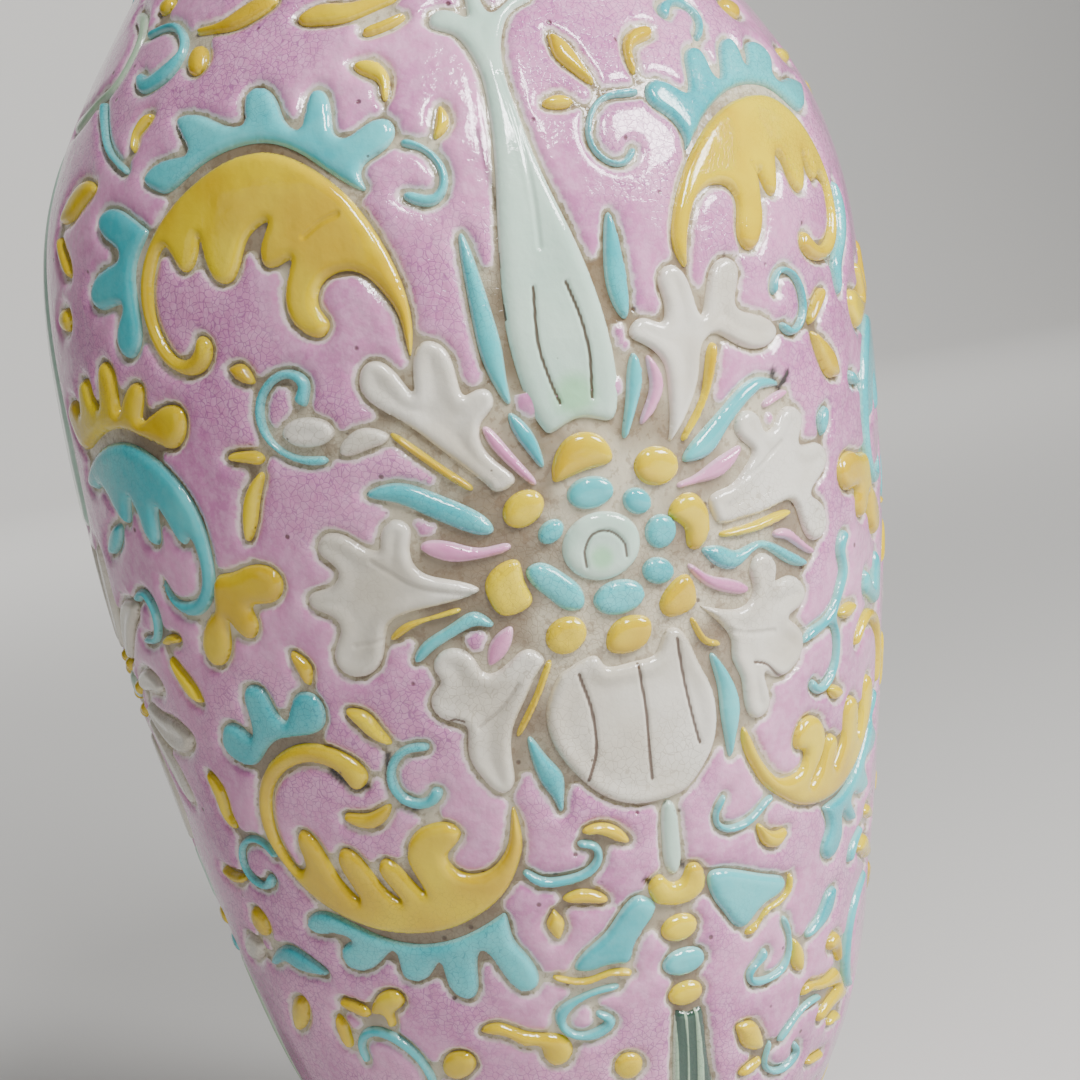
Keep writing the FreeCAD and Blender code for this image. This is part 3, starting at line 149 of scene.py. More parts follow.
class Profile:
    """The outside of the wall as a curve: its radius, level and normal at a length along it."""

    def __init__(self):
        radius_at, low, high = wall_profile(("lower_body", "upper_body", "neck"), 1, 4.0)
        self.level = np.linspace(low, high, 3000)
        self.radius = radius_at(self.level)
        steps = np.hypot(np.diff(self.level), np.diff(self.radius))
        self.length = np.concatenate([[0.0], np.cumsum(steps)])
        slope = np.gradient(self.radius, self.level)
        self.normal_out = 1 / np.sqrt(1 + slope ** 2)
        self.normal_up = -slope / np.sqrt(1 + slope ** 2)

    def length_at(self, level):
        return np.interp(level, self.level, self.length)

    def radius_at(self, length):
        return np.interp(length, self.length, self.radius)

    def place(self, azimuth, length, height):
        """Points over the wall: the profile's point moved out along its normal by the height."""
        out = self.radius_at(length) + height * np.interp(length, self.length, self.normal_out)
        up = (np.interp(length, self.length, self.level)
              + height * np.interp(length, self.length, self.normal_up))
        return np.stack([out * np.sin(azimuth), -out * np.cos(azimuth), up], axis=-1)


profile = Profile()


def pad_loops(name):
    """The outlines of a node's relief pads as (azimuth, length along the profile) arrays.
    They are the free edges of the triangles that face outwards, walked round loop by loop."""
    points, triangles, normals = node_triangles(name)
    outer = triangles[outward_share(points, triangles, normals) > 0.5]
    edges = np.concatenate([outer[:, [0, 1]], outer[:, [1, 2]], outer[:, [2, 0]]])
    codes = edges[:, 0] * len(points) + edges[:, 1]
    free = edges[~np.isin(codes, edges[:, 1] * len(points) + edges[:, 0])]
    following = dict(zip(free[:, 0].tolist(), free[:, 1].tolist()))
    loops = []
    while following:
        start, here = following.popitem()
        walk = [start]
        while here != start and here in following:
            walk.append(here)
            here = following.pop(here)
        ring = points[walk]
        radius = np.hypot(ring[:, 0], ring[:, 1])
        lift = np.median(radius - profile.radius_at(profile.length_at(ring[:, 2])))
        if len(walk) < 6 or lift < 0.4:
            continue
        azimuth = np.unwrap(np.arctan2(ring[:, 0], -ring[:, 1]))
        if azimuth.mean() > math.pi:
            azimuth = azimuth - 2 * math.pi
        loops.append(np.stack([azimuth, profile.length_at(ring[:, 2])], axis=1))
    return loops


# ---------------------------------------------------------------- distances in the drawing

def loop_distance(x, y, loop):
    """Signed distance of points to a closed loop, negative inside, with the nearest points on it.
    The nearest point is found on every side of the loop and the closest is kept."""
    a, b = loop, np.roll(loop, -1, axis=0)
    side = b - a
    length2 = np.maximum((side ** 2).sum(axis=1), 1e-12)
    px, py = x[:, None], y[:, None]
    t = np.clip(((px - a[:, 0]) * side[:, 0] + (py - a[:, 1]) * side[:, 1]) / length2, 0, 1)
    nx, ny = a[:, 0] + t * side[:, 0], a[:, 1] + t * side[:, 1]
    gap = (px - nx) ** 2 + (py - ny) ** 2
    best = gap.argmin(axis=1)
    rows = np.arange(len(x))
    crosses = (a[:, 1] > py) != (b[:, 1] > py)
    rise = np.where(side[:, 1] == 0, 1e-12, side[:, 1])
    inside = (crosses & (px < a[:, 0] + (py - a[:, 1]) * side[:, 0] / rise)).sum(axis=1) % 2 == 1
    distance = np.sqrt(gap[rows, best])
    return np.where(inside, -distance, distance), nx[rows, best], ny[rows, best]


def line_distance(x, y, line):
    """Distance of points to an open line of (x, y, half width) points, less its half width."""
    a, b = line[:-1], line[1:]
    side = b[:, :2] - a[:, :2]
    length2 = np.maximum((side ** 2).sum(axis=1), 1e-12)
    px, py = x[:, None], y[:, None]
    t = np.clip(((px - a[:, 0]) * side[:, 0] + (py - a[:, 1]) * side[:, 1]) / length2, 0, 1)
    gap = np.hypot(px - a[:, 0] - t * side[:, 0], py - a[:, 1] - t * side[:, 1])
    return (gap - (a[:, 2] + t * (b[:, 2] - a[:, 2]))).min(axis=1)


def flattened(curve, middle):
    """A curve of (azimuth, length, ...) rows laid flat in mm, its azimuths measured from middle."""
    across = (curve[:, 0] - middle) * profile.radius_at(curve[:, 1])
    return np.concatenate([across[:, None], curve[:, 1:]], axis=1)


def nearest_turn(azimuth):
    """An azimuth, or several, brought to within half a turn of the front."""
    return (azimuth + math.pi) % (2 * math.pi) - math.pi


def smooth(low, high, value):
    """0 below low, 1 above high, and an S-curve between."""
    t = np.clip((value - low) / (high - low), 0, 1)
    return t * t * (3 - 2 * t)


def rounded(t):
    """A quarter circle: 0 at 0, rising steeply, level at 1."""
    t = np.clip(t, 0, 1)
    return np.sqrt(np.clip(1 - (1 - t) ** 2, 0, 1))


def smooth_line(points, steps=6):
    """A Catmull-Rom curve through given points, steps to each span."""
    p = np.array(points, float)
    p = np.concatenate([[2 * p[0] - p[1]], p, [2 * p[-1] - p[-2]]])
    t = np.linspace(0, 1, steps, endpoint=False)[:, None]
    spans = [0.5 * (2 * p[i] + (p[i + 1] - p[i - 1]) * t
                    + (2 * p[i - 1] - 5 * p[i] + 4 * p[i + 1] - p[i + 2]) * t ** 2
                    + (3 * p[i] - p[i - 1] - 3 * p[i + 1] + p[i + 2]) * t ** 3)
             for i in range(1, len(p) - 2)]
    return np.concatenate(spans + [p[-2:-1]])


# ---------------------------------------------------------------- lines cut into the pads

# Cut lines in the flat drawing, each as its (mm across, level) points, its half width, and how
# much brown stain sits in it, from 0 for a clean groove to 1.
CUT_LINES = {
    "gourd_leaf": [
        ([(-6, 222), (-6.8, 212), (-5.8, 205), (-4.5, 200)], 0.2, 0.9),
        ([(0.3, 222), (2, 215), (2.6, 208), (1.8, 200)], 0.2, 0.9),
        ([(-11.5, 229), (-12.2, 223), (-12.2, 217)], 0.3, 1),
        ([(-4, 262), (-3, 250), (-3, 238), (-3.5, 229)], 0.25, 0.15),
    ],
    "lotus_seed_pod": [
        ([(-4, 168.5), (-4, 171.5), (-2, 174.4), (1.5, 174.4), (4, 171.8), (4.3, 169)], 0.16, 0.8),
    ],
    "shell_calyx": [
        ([(-8.5, 148), (-6.8, 140), (-7, 132), (-9.5, 126.5)], 0.22, 0.9),
        ([(4, 147.5), (4.8, 138), (4.6, 131), (4.6, 124)], 0.2, 0.9),
        ([(13, 151), (14, 142), (15.2, 135), (16.5, 129)], 0.2, 0.9),
    ],
    "lotus_leaves": [
        ([(32, 142), (35, 141), (38.5, 138), (42, 137), (45, 137.5)], 0.18, 0.8),
        ([(-37, 142), (-35, 143.2), (-33, 142.5)], 0.18, 0.8),
        ([(-36, 203), (-31, 196), (-26, 191), (-20, 187)], 0.3, 0.25),
        ([(-45, 176), (-39, 171), (-33, 168.5), (-27, 167)], 0.3, 0.3),
        ([(-52, 160), (-45, 160.5), (-38, 160), (-30, 159)], 0.3, 0.2),
        ([(27, 193), (31, 198), (35, 204)], 0.3, 0.2),
        ([(28, 178), (36, 180), (44, 184)], 0.3, 0.25),
        ([(-30, 141), (-25, 144), (-21, 148)], 0.3, 0.4),
        ([(25, 150), (31, 148), (38, 147)], 0.3, 0.2),
    ],
    "tassel": [
        ([(6.6, 73), (6.8, 66), (6.6, 56), (6.3, 44)], 0.8, 1),
        ([(9.6, 74), (9.7, 60), (9.8, 44)], 0.75, 1),
        ([(12.8, 72), (13.7, 65), (14.5, 56), (15, 44)], 0.85, 1),
        ([(6, 73), (9.2, 75), (12.5, 73)], 0.9, 1),
    ],
    "scroll_leaves": [
        ([(48, 239), (49, 237.5), (50, 235.5)], 0.3, 0.3),
        ([(-47, 238), (-43.5, 240), (-40, 241)], 0.3, 0.1),
    ],
}
SHADED_GLAZE_GAPS = [            # near-black painted shade in deep hollows beside the pads, where the ground's enamel also didn't meet, drawn the same way
    ([(44, 198.5), (46, 194.6), (48.2, 197.5)], 0.4, 1),
    ([(-51, 137.5), (-52.2, 131), (-48.5, 126), (-43, 127.2)], 0.35, 1),
    ([(-65, 135), (-61, 131.4), (-57, 131.2)], 0.4, 1),
    ([(75, 226.4), (76, 222.8)], 0.35, 0.9),
    ([(0.6, 103.6), (1.6, 102.6)], 0.4, 1),
    ([(9.6, 105.2), (10.6, 104)], 0.35, 1),
    ([(-11, 252), (-10.4, 243), (-9.6, 236)], 0.25, 0.6),
]
GREEN_POOLS = {           # where the celadon pools green: ((mm across, level), radius)
    "lotus_seed_pod": [((-0.8, 169.6), 3.4)],
    "gourd_leaf": [((-1.5, 201.0), 6.0)],
    "side_gourd_leaf": [((141.37, 192.0), 6.0)],
    "side_seed_pod": [((141.37, 150.6), 2.4)],
}
BARE_OVALS = [((0, 170), (27, 30)), ((141.37, 170), (12, 12))]    # no pink between these petals


def drawn_lines(drawing):
    """Drawn lines as (azimuth, length, half width, darkness) curves, on the front and the back; the
    darkness is brown stain in the cut lines and painted shade in the hollows at the enamel's gaps.
    """
    curves = []
    for points, half_width, stain_and_shade in drawing:
        line = smooth_line(points)
        rest = np.full((len(line), 2), (half_width, stain_and_shade))
        for turn in (0, math.pi):
            place = np.stack([line[:, 0] / DRAWING_RADIUS + turn, profile.length_at(line[:, 1])], axis=1)
            curves.append(np.concatenate([place, rest], axis=1))
    return curves


# ---------------------------------------------------------------- surfaces

def add_piece(name, points, quads, triangles, slot, replaced, values):
    """A mesh piece in metres from points in mm, with its named values kept at every corner."""
    mesh = bpy.data.meshes.new(name)
    mesh.vertices.add(len(points))
    mesh.vertices.foreach_set("co", (points * MM).astype(np.float32).ravel())
    corners = np.concatenate([quads.ravel(), triangles.ravel()]).astype(np.int32)
    sizes = np.concatenate([np.full(len(quads), 4), np.full(len(triangles), 3)])
    mesh.loops.add(len(corners))
    mesh.loops.foreach_set("vertex_index", corners)
    mesh.polygons.add(len(sizes))
    mesh.polygons.foreach_set("loop_start", np.concatenate([[0], np.cumsum(sizes)[:-1]]).astype(np.int32))
    mesh.polygons.foreach_set("use_smooth", np.ones(len(sizes), bool))
    for label, value in values.items():
        layer = mesh.attributes.new(label, "FLOAT", "POINT")
        layer.data.foreach_set("value", value.astype(np.float32))
    mesh.update(calc_edges=True)
    piece = bpy.data.objects.new(name, mesh)
    bpy.context.scene.collection.objects.link(piece)
    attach(piece, "root")
    if replaced:
        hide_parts(*replaced)
    mesh.materials.append(GLAZES[slot])
    return piece


def grid_quads(rows, columns):
    """The quads of a grid of corners, turned so that they face outwards."""
    i = np.arange(rows - 1)[:, None] * columns + np.arange(columns - 1)
    return np.stack([i, i + 1, i + columns + 1, i + columns], axis=-1).reshape(-1, 4)


def turned_piece(name, path, slot, replaced, steps=240):
    """A surface of revolution: the path of (radius, level) points carried once round the axis.
    It faces to the right of the path's direction, and a radius of 0 is closed to one point."""
    path = np.array(path, float)
    angle = np.linspace(0, 2 * math.pi, steps, endpoint=False)
    rings = np.stack([path[:, :1] * np.sin(angle), -path[:, :1] * np.cos(angle),
                      np.repeat(path[:, 1:], steps, axis=1)], axis=-1)
    i = np.arange(len(path) - 1)[:, None] * steps
    j, k = np.arange(steps), (np.arange(steps) + 1) % steps
    quads = np.stack([i + j, i + k, i + k + steps, i + j + steps], axis=-1).reshape(-1, 4)
    points, corner = np.unique(np.round(rings.reshape(-1, 3), 6), axis=0, return_inverse=True)
    quads = corner.reshape(-1)[quads]
    three = [quads[:, 0] == quads[:, 1], quads[:, 2] == quads[:, 3]]
    triangles = np.concatenate([quads[three[0]][:, [0, 2, 3]], quads[three[1]][:, [0, 1, 2]]])
    plain = {"rise": np.full(len(points), 3.0), "dirt_and_shade": np.zeros(len(points)),
             "tone": np.full(len(points), 0.5)}
    return add_piece(name, points, quads[~(three[0] | three[1])], triangles, slot, replaced, plain)


def ground_field(loops, azimuth, length):
    """How far each corner of the ground's grid is from the nearest pad, up to the reach."""
    field = np.full((len(length), len(azimuth)), FIELD_REACH)
    step = azimuth[1] - azimuth[0]
    for loop in loops:
        from_middle = np.abs(length - loop[:, 1].mean())
        rows = np.flatnonzero((from_middle < np.ptp(loop[:, 1]) / 2 + 2 * FIELD_REACH)
                              & (length > loop[:, 1].min() - FIELD_REACH)
                              & (length < loop[:, 1].max() + FIELD_REACH))
        if not len(rows):
            continue
        radius = profile.radius_at(length[rows])
        middle = loop[:, 0].mean()
        margin = FIELD_REACH / radius.min()
        first = math.floor((loop[:, 0].min() - margin - azimuth[0]) / step)
        last = math.ceil((loop[:, 0].max() + margin - azimuth[0]) / step)
        columns = np.arange(first, last + 1)
        x = (azimuth[0] + columns * step - middle) * radius[:, None]
        y = np.repeat(length[rows][:, None], len(columns), axis=1)
        found = loop_distance(x.ravel(), y.ravel(), flattened(loop, middle))[0].reshape(x.shape)
        spot = np.ix_(rows, columns % len(azimuth))
        field[spot] = np.minimum(field[spot], found)
    for (across, level), (wide, high) in BARE_OVALS:
        for turn in (0, math.pi):
            off = nearest_turn(azimuth - across / DRAWING_RADIUS - turn)
            up = (length - profile.length_at(level))[:, None]
            oval = (np.hypot(off * DRAWING_RADIUS / wide, up / high) - 1) * min(wide, high)
            field = np.minimum(field, np.maximum(oval, -0.2) + CHANNEL_WIDTH)
    return field


def gap_shade_field(azimuth, length):
    """How much painted hollow shade and enamel-gap stain each corner of the ground's grid gets, from 0 to
    1.
    """
    stain_and_shade = np.zeros((len(length), len(azimuth)))
    for line in drawn_lines(SHADED_GLAZE_GAPS):
        rows = np.flatnonzero((length > line[:, 1].min() - 2) & (length < line[:, 1].max() + 2))
        off = nearest_turn(azimuth - line[0, 0])
        columns = np.flatnonzero(np.abs(off) < 0.3)
        radius = profile.radius_at(length[rows])
        x = off[columns] * radius[:, None]
        y = np.repeat(length[rows][:, None], len(columns), axis=1)
        gap = line_distance(x.ravel(), y.ravel(), flattened(line, line[0, 0])).reshape(x.shape)
        spot = np.ix_(rows, columns)
        stain_and_shade[spot] = np.maximum(stain_and_shade[spot], line[0, 3] * (1 - smooth(0.0, 0.6, gap)))
    return stain_and_shade


def opened(field, azimuth, length, width):
    """The field where it can grow to width, and small elsewhere: passages too narrow for a brush
    stay bare. Each corner takes the best of its neighbours' values less the way to them."""
    radius = profile.radius_at(length)[:, None]
    wide = np.where(field >= width, field, -9.0)
    best = wide.copy()
    span = width - CHANNEL_WIDTH + 0.3
    along = length[1] - length[0]
    across = azimuth[1] - azimuth[0]
    for i in range(-int(span / along), int(span / along) + 1):
        moved = np.full_like(wide, -9.0)
        target = slice(max(0, -i), len(length) - max(0, i))
        source = slice(max(0, i), len(length) + min(0, i))
        moved[target] = wide[source]
        reach = int(span / (across * radius.min()))
        for j in range(-reach, reach + 1):
            way = np.hypot(i * along, j * across * radius)
            best = np.maximum(best, np.roll(moved, -j, axis=1) - way)
    return best


def ground_pieces(loops):
    """The pink ground and the bare channels as one puffed skin over the wall, on a grid of azimuth
    and length. Its height is the channel floor, plus a quarter circle that climbs from the
    channel's edge to the full rise, plus a slow hand-made unevenness."""
    around = int(round(2 * math.pi * profile.radius.max() / GROUND_CELL / 4)) * 4
    azimuth = np.linspace(-math.pi, math.pi, around, endpoint=False)
    total = profile.length[-1]
    length = np.linspace(0, total, int(total / GROUND_CELL) + 1)
    field = ground_field(loops, azimuth, length)
    field = opened(field, azimuth, length, CHANNEL_WIDTH + BRUSH)
    waves = (np.sin(5 * azimuth + length[:, None] / 11) + np.sin(13 * azimuth - length[:, None] / 7 + 2)
             + np.sin(23 * azimuth + length[:, None] / 4.3 + 4))
    climb = rounded((field - CHANNEL_WIDTH) / GROUND_ROUND)
    height = CHANNEL_FLOOR + (GROUND_RISE + 0.05 * waves) * climb
    # painted shade of the deep hollows beside the pads, together with the enamel's gaps, at the listed
    # places
    stain_and_shade = gap_shade_field(azimuth, length)
    ends = smooth(0, 2.5, np.minimum(length, total - length))[:, None]
    height = height * ends
    bands = [("lower", "lower_body", profile.length_at(150.0), 2),
             ("upper", "upper_body", profile.length_at(300.0), 3), ("neck", "neck", total, 1)]
    low = 0
    for label, node, end, sectors in bands:
        high = min(int(np.searchsorted(length, end - 1e-6)), len(length) - 1)
        for k in range(sectors):
            columns = np.arange(around * k // sectors, around * (k + 1) // sectors + 1)
            rows = np.arange(low, high + 1)
            spot = np.ix_(rows, columns % around)
            turn = -math.pi + columns * 2 * math.pi / around
            place = profile.place(turn, length[rows][:, None], height[spot])
            values = {"rise": field[spot].ravel(), "dirt_and_shade": stain_and_shade[spot].ravel(),
                      "tone": np.full(height[spot].size, 0.5)}
            add_piece(f"{label}_ground_{k + 1}", place.reshape(-1, 3), grid_quads(len(rows), len(columns)),
                      np.zeros((0, 3), int), "pink_glaze", [node], values)
        low = high


def pad_surface(loop, cell, top, edge, dish, lines):
    """One glaze pad on its own grid. Its height over the wall climbs as a quarter circle from just
    above the channel at the outline to the top at the width of its edge, or at its own middle
    where it is narrower, and sinks again by its dish further in. Corners near the outline are
    moved onto it, and a skirt goes down."""
    middle = (loop[:, 0].min() + loop[:, 0].max()) / 2
    flat = flattened(loop, middle)
    low, high = flat.min(axis=0) - cell, flat.max(axis=0) + cell
    xs = np.arange(low[0], high[0] + cell, cell)
    ys = np.arange(low[1], high[1] + cell, cell)
    x, y = [part.ravel() for part in np.meshgrid(xs, ys)]
    distance, near_x, near_y = loop_distance(x, y, flat)
    snap = np.abs(distance) < 0.5 * cell
    x, y = np.where(snap, near_x, x), np.where(snap, near_y, y)
    depth = np.where(snap, 0.0, -distance)
    inside = depth >= 0
    widest = depth.max()
    edge = min(edge, max(widest, 0.5))
    top = top * (0.62 + 0.38 * min(1.0, widest / 2.0))
    height = PAD_FOOT + (top - PAD_FOOT) * rounded(np.maximum(depth, 0) / edge)
    height = height - dish * smooth(edge * 0.8, edge * 2.6, depth)
    height = height.reshape(len(ys), len(xs))
    free = ((depth > 0.6 * cell) & inside).reshape(height.shape)
    for _ in range(2):
        beside = (np.roll(height, 1, 0) + np.roll(height, -1, 0) + np.roll(height, 1, 1)
                  + np.roll(height, -1, 1)) / 4
        height = np.where(free, (height + beside) / 2, height)
    height = height.ravel()
    dirt_and_shade = np.zeros(len(x))
    for line in lines:
        run = flattened(line, middle)
        if (np.abs(run[:, 0]) < np.ptp(flat[:, 0])).any():
            gap = line_distance(x, y, run)
            dirt_and_shade = np.maximum(dirt_and_shade, line[0, 3] * (1 - smooth(0.0, 0.3, gap)))
            height = height - CUT_DEPTH * (1 - smooth(-0.1, 0.55, gap))

    number = np.full(len(x), -1)
    number[inside] = np.arange(inside.sum())
    cells = grid_quads(len(ys), len(xs))
    has = number[cells] >= 0
    quads = number[cells[has.all(axis=1)]]
    three = has.sum(axis=1) == 3
    triangles = number[cells[three]][has[three]].reshape(-1, 3)
    sides = np.concatenate([quads[:, [0, 1]], quads[:, [1, 2]], quads[:, [2, 3]], quads[:, [3, 0]],
                            triangles[:, [0, 1]], triangles[:, [1, 2]], triangles[:, [2, 0]]])
    count = int(inside.sum())
    rim = sides[~np.isin(sides[:, 0] * count + sides[:, 1], sides[:, 1] * count + sides[:, 0])]
    foot_of = np.full(count, -1)
    bottom = np.unique(rim)
    foot_of[bottom] = count + np.arange(len(bottom))
    skirt = np.stack([rim[:, 1], rim[:, 0], foot_of[rim[:, 0]], foot_of[rim[:, 1]]], axis=1)
    x, y, height, depth, dirt_and_shade = [part[inside] for part in (x, y, height, depth, dirt_and_shade)]
    x, y = np.concatenate([x, x[bottom]]), np.concatenate([y, y[bottom]])
    height = np.concatenate([height, np.full(len(bottom), SKIRT_FOOT)])
    depth = np.concatenate([depth, np.full(len(bottom), -0.3)])
    dirt_and_shade = np.concatenate([dirt_and_shade, dirt_and_shade[bottom]])
    points = profile.place(middle + x / profile.radius_at(y), y, height)
    return points, np.concatenate([quads, skirt]), triangles, depth, dirt_and_shade


def pooled(name, points):
    """How green each corner of a node's pads is: 1 at the middle of a pool, 0 at its radius."""
    green = np.zeros(len(points))
    azimuth = np.arctan2(points[:, 0], -points[:, 1])
    for (across, level), radius in GREEN_POOLS.get(name, []):
        for turn in (0, math.pi):
            off = nearest_turn(azimuth - across / DRAWING_RADIUS - turn)
            gap = np.hypot(off * DRAWING_RADIUS, points[:, 2] - level)
            green = np.maximum(green, 1 - smooth(0.3 * radius, radius, gap))
    return green


def relief_piece(name):
    """All the pads of one node as one piece."""
    slot = SLOT_OF[name]
    top, edge, dish = PAD_HEIGHT[slot]
    lines = drawn_lines(CUT_LINES.get(name, []))
    points, quads, triangles, rise, dirt_and_shade, tone = [], [], [], [], [], []
    start = 0
    for number, loop in enumerate(LOOPS[name]):
        width = min(np.ptp(loop[:, 0]) * DRAWING_RADIUS, np.ptp(loop[:, 1]))
        cell = FINE_CELL if width < NARROW or "tendril" in name or lines else PAD_CELL
        near = []
        for line in lines:
            off = line[:, 0].mean() - loop[:, 0].mean()
            if abs(nearest_turn(off)) < LINE_REACH:
                near.append(line - [round(off / (2 * math.pi)) * 2 * math.pi, 0, 0, 0])
        pad = pad_surface(loop, cell, top, edge, dish, near)
        points.append(pad[0])
        quads.append(pad[1] + start)
        triangles.append(pad[2] + start)
        rise.append(pad[3])
        dirt_and_shade.append(pad[4])
        tone.append(np.full(len(pad[0]), (number * 0.618 + len(name) * 0.37) % 1))
        start += len(pad[0])
    points = np.concatenate(points)
    values = {"rise": np.concatenate(rise), "dirt_and_shade": np.concatenate(dirt_and_shade), "tone": np.concatenate(tone),
              "green": pooled(name, points)}
    return add_piece(f"{name}_glaze", points, np.concatenate(quads), np.concatenate(triangles), slot,
                     [name], values)


# ---------------------------------------------------------------- glazes

class Bench:
    """Lays nodes in one tree: each call adds a node, sets it, and joins or fills its inputs."""

    def __init__(self, tree):
        self.tree = tree

    def __call__(self, kind, inputs=None, **settings):
        node = self.tree.nodes.new("ShaderNode" + kind)
        for key, value in settings.items():
            setattr(node, key, value)
        for key, value in (inputs or {}).items():
            if isinstance(value, bpy.types.NodeSocket):
                self.tree.links.new(value, node.inputs[key])
            else:
                node.inputs[key].default_value = value
        return node

    def blend(self, mask, under, over):
        """The colour under where the mask is 0, over where it is 1."""
        node = self("Mix", {0: mask, 6: under, 7: over}, data_type="RGBA")
        return node.outputs[2]

    def ramp(self, value, low, high, to_low=0.0, to_high=1.0):
        """A value between low and high carried to the range to_low to to_high, eased at both ends."""
        node = self("MapRange", {0: value, 1: low, 2: high, 3: to_low, 4: to_high},
                    interpolation_type="SMOOTHSTEP")
        return node.outputs[0]

    def sums(self, operation, a, b):
        """The sum, product or other operation of two values."""
        return self("Math", {0: a, 1: b}, operation=operation).outputs[0]


def glaze_group(name, inputs, outputs):
    """An empty node group with its named inputs and outputs, and the bench to fill it with."""
    group = bpy.data.node_groups.new(name, "ShaderNodeTree")
    for label, value in inputs.items():
        socket = group.interface.new_socket(label, in_out="INPUT", socket_type="NodeSocketFloat")
        socket.default_value = value
    for label in outputs:
        group.interface.new_socket(label, in_out="OUTPUT", socket_type="NodeSocketFloat")
    bench = Bench(group)
    given = group.nodes.new("NodeGroupInput").outputs
    result = group.nodes.new("NodeGroupOutput").inputs
    return group, bench, given, result


def crackle_group():
    """Fine crackle: the edges of cells in a bent cell pattern, drawn only where a slow noise
    is high enough, so that it comes and goes over the pot."""
    group, bench, given, result = glaze_group("crackle", {"Cells": 800.0, "Width": 0.06, "Spread": 0.5},
                                              ["Crack"])
    spot = bench("TexCoord").outputs["Object"]
    bend = bench("TexNoise", {"Vector": spot, "Scale": 420.0, "Detail": 1.0}).outputs["Color"]
    bend = bench("VectorMath", {0: bend, 1: (0.0012, 0.0012, 0.0012)}, operation="MULTIPLY").outputs[0]
    spot_bent = bench("VectorMath", {0: spot, 1: bend}, operation="ADD").outputs[0]
    cells = bench("TexVoronoi", {"Vector": spot_bent, "Scale": given["Cells"]},
                  feature="DISTANCE_TO_EDGE").outputs["Distance"]
    line = bench.ramp(cells, 0.0, given["Width"], 1.0, 0.0)
    patch = bench("TexNoise", {"Vector": spot, "Scale": 26.0, "Detail": 2.0}).outputs["Fac"]
    floor = bench.sums("SUBTRACT", 1.0, given["Spread"])
    patch = bench.ramp(patch, floor, bench.sums("ADD", floor, 0.18))
    bench.tree.links.new(bench.sums("MULTIPLY", line, patch), result["Crack"])
    return group


def specks_group():
    """Pinholes and iron specks: the small round middles of cells, kept where the cell's own
    random colour is low."""
    group, bench, given, result = glaze_group("specks", {"Cells": 260.0, "Share": 0.12, "Size": 0.16},
                                              ["Speck"])
    spot = bench("TexCoord").outputs["Object"]
    cell = bench("TexVoronoi", {"Vector": spot, "Scale": given["Cells"]}, feature="F1")
    luck = bench("SeparateColor", {0: cell.outputs["Color"]}).outputs[0]
    chosen = bench("Math", {0: luck, 1: given["Share"]}, operation="LESS_THAN").outputs[0]
    dot = bench.ramp(cell.outputs["Distance"], given["Size"],
                     bench.sums("MULTIPLY", given["Size"], 0.4), 0.0, 1.0)
    bench.tree.links.new(bench.sums("MULTIPLY", dot, chosen), result["Speck"])
    return group


def kiln_group():
    """Kiln colour: a slow and a quick noise, for pooled and thin places in a glaze, from 0 to 1."""
    group, bench, given, result = glaze_group("kiln_colour", {"Slow": 45.0, "Quick": 330.0},
                                              ["Pool", "Mottle"])
    spot = bench("TexCoord").outputs["Object"]
    slow = bench("TexNoise", {"Vector": spot, "Scale": given["Slow"], "Detail": 3.0}).outputs["Fac"]
    quick = bench("TexNoise", {"Vector": spot, "Scale": given["Quick"], "Detail": 4.0,
                               "Roughness": 0.65}).outputs["Fac"]
    bench.tree.links.new(bench.ramp(slow, 0.32, 0.68), result["Pool"])
    bench.tree.links.new(bench.ramp(quick, 0.36, 0.66), result["Mottle"])
    return group


def surface_group():
    """The glaze's own skin: slow waves and fine ripples, less the cracks and the pinholes."""
    group, bench, given, result = glaze_group(
        "glaze_skin", {"Crack": 0.0, "Speck": 0.0, "Ripple": 0.5}, ["Height"])
    spot = bench("TexCoord").outputs["Object"]
    wave = bench("TexNoise", {"Vector": spot, "Scale": 150.0, "Detail": 1.0}).outputs["Fac"]
    ripple = bench("TexNoise", {"Vector": spot, "Scale": 620.0, "Detail": 2.0}).outputs["Fac"]
    height = bench.sums("MULTIPLY", ripple, given["Ripple"])
    height = bench("Math", {0: wave, 1: 1.6, 2: height}, operation="MULTIPLY_ADD").outputs[0]
    height = bench("Math", {0: given["Crack"], 1: -0.12, 2: height}, operation="MULTIPLY_ADD").outputs[0]
    height = bench("Math", {0: given["Speck"], 1: -0.8, 2: height}, operation="MULTIPLY_ADD").outputs[0]
    bench.tree.links.new(height, result["Height"])
    return group


CRACKLE, SPECKS, KILN, SKIN = crackle_group(), specks_group(), kiln_group(), surface_group()


def colour(red, green, blue):
    """A colour of 0 to 255 as the eye sees it, made linear."""
    return tuple(((c / 255 + 0.055) / 1.055) ** 2.4 if c > 10 else c / 255 / 12.92
                 for c in (red, green, blue)) + (1.0,)


BROWN = colour(74, 46, 30)
CLAY = colour(196, 184, 165)


def glaze_base(name, roughness, coat):
    """A glossy glaze with its bench and its shader."""
    material = bpy.data.materials.new(name)
    material.use_nodes = True
    shader = material.node_tree.nodes["Principled BSDF"]
    shader.inputs["Roughness"].default_value = roughness
    shader.inputs["Coat Weight"].default_value = coat
    shader.inputs["Coat Roughness"].default_value = 0.04
    shader.inputs["IOR"].default_value = 1.5
    return material, Bench(material.node_tree), shader


def attribute(bench, label):
    """A value kept at the corners of a piece."""
    return bench("Attribute", attribute_name=label).outputs["Fac"]


def place_group(bench, group, **inputs):
    """Places a node group with its own values and returns its outputs."""
    node = bench("Group", node_tree=group)
    for label, value in inputs.items():
        if isinstance(value, bpy.types.NodeSocket):
            bench.tree.links.new(value, node.inputs[label])
        else:
            node.inputs[label].default_value = value
    return node.outputs


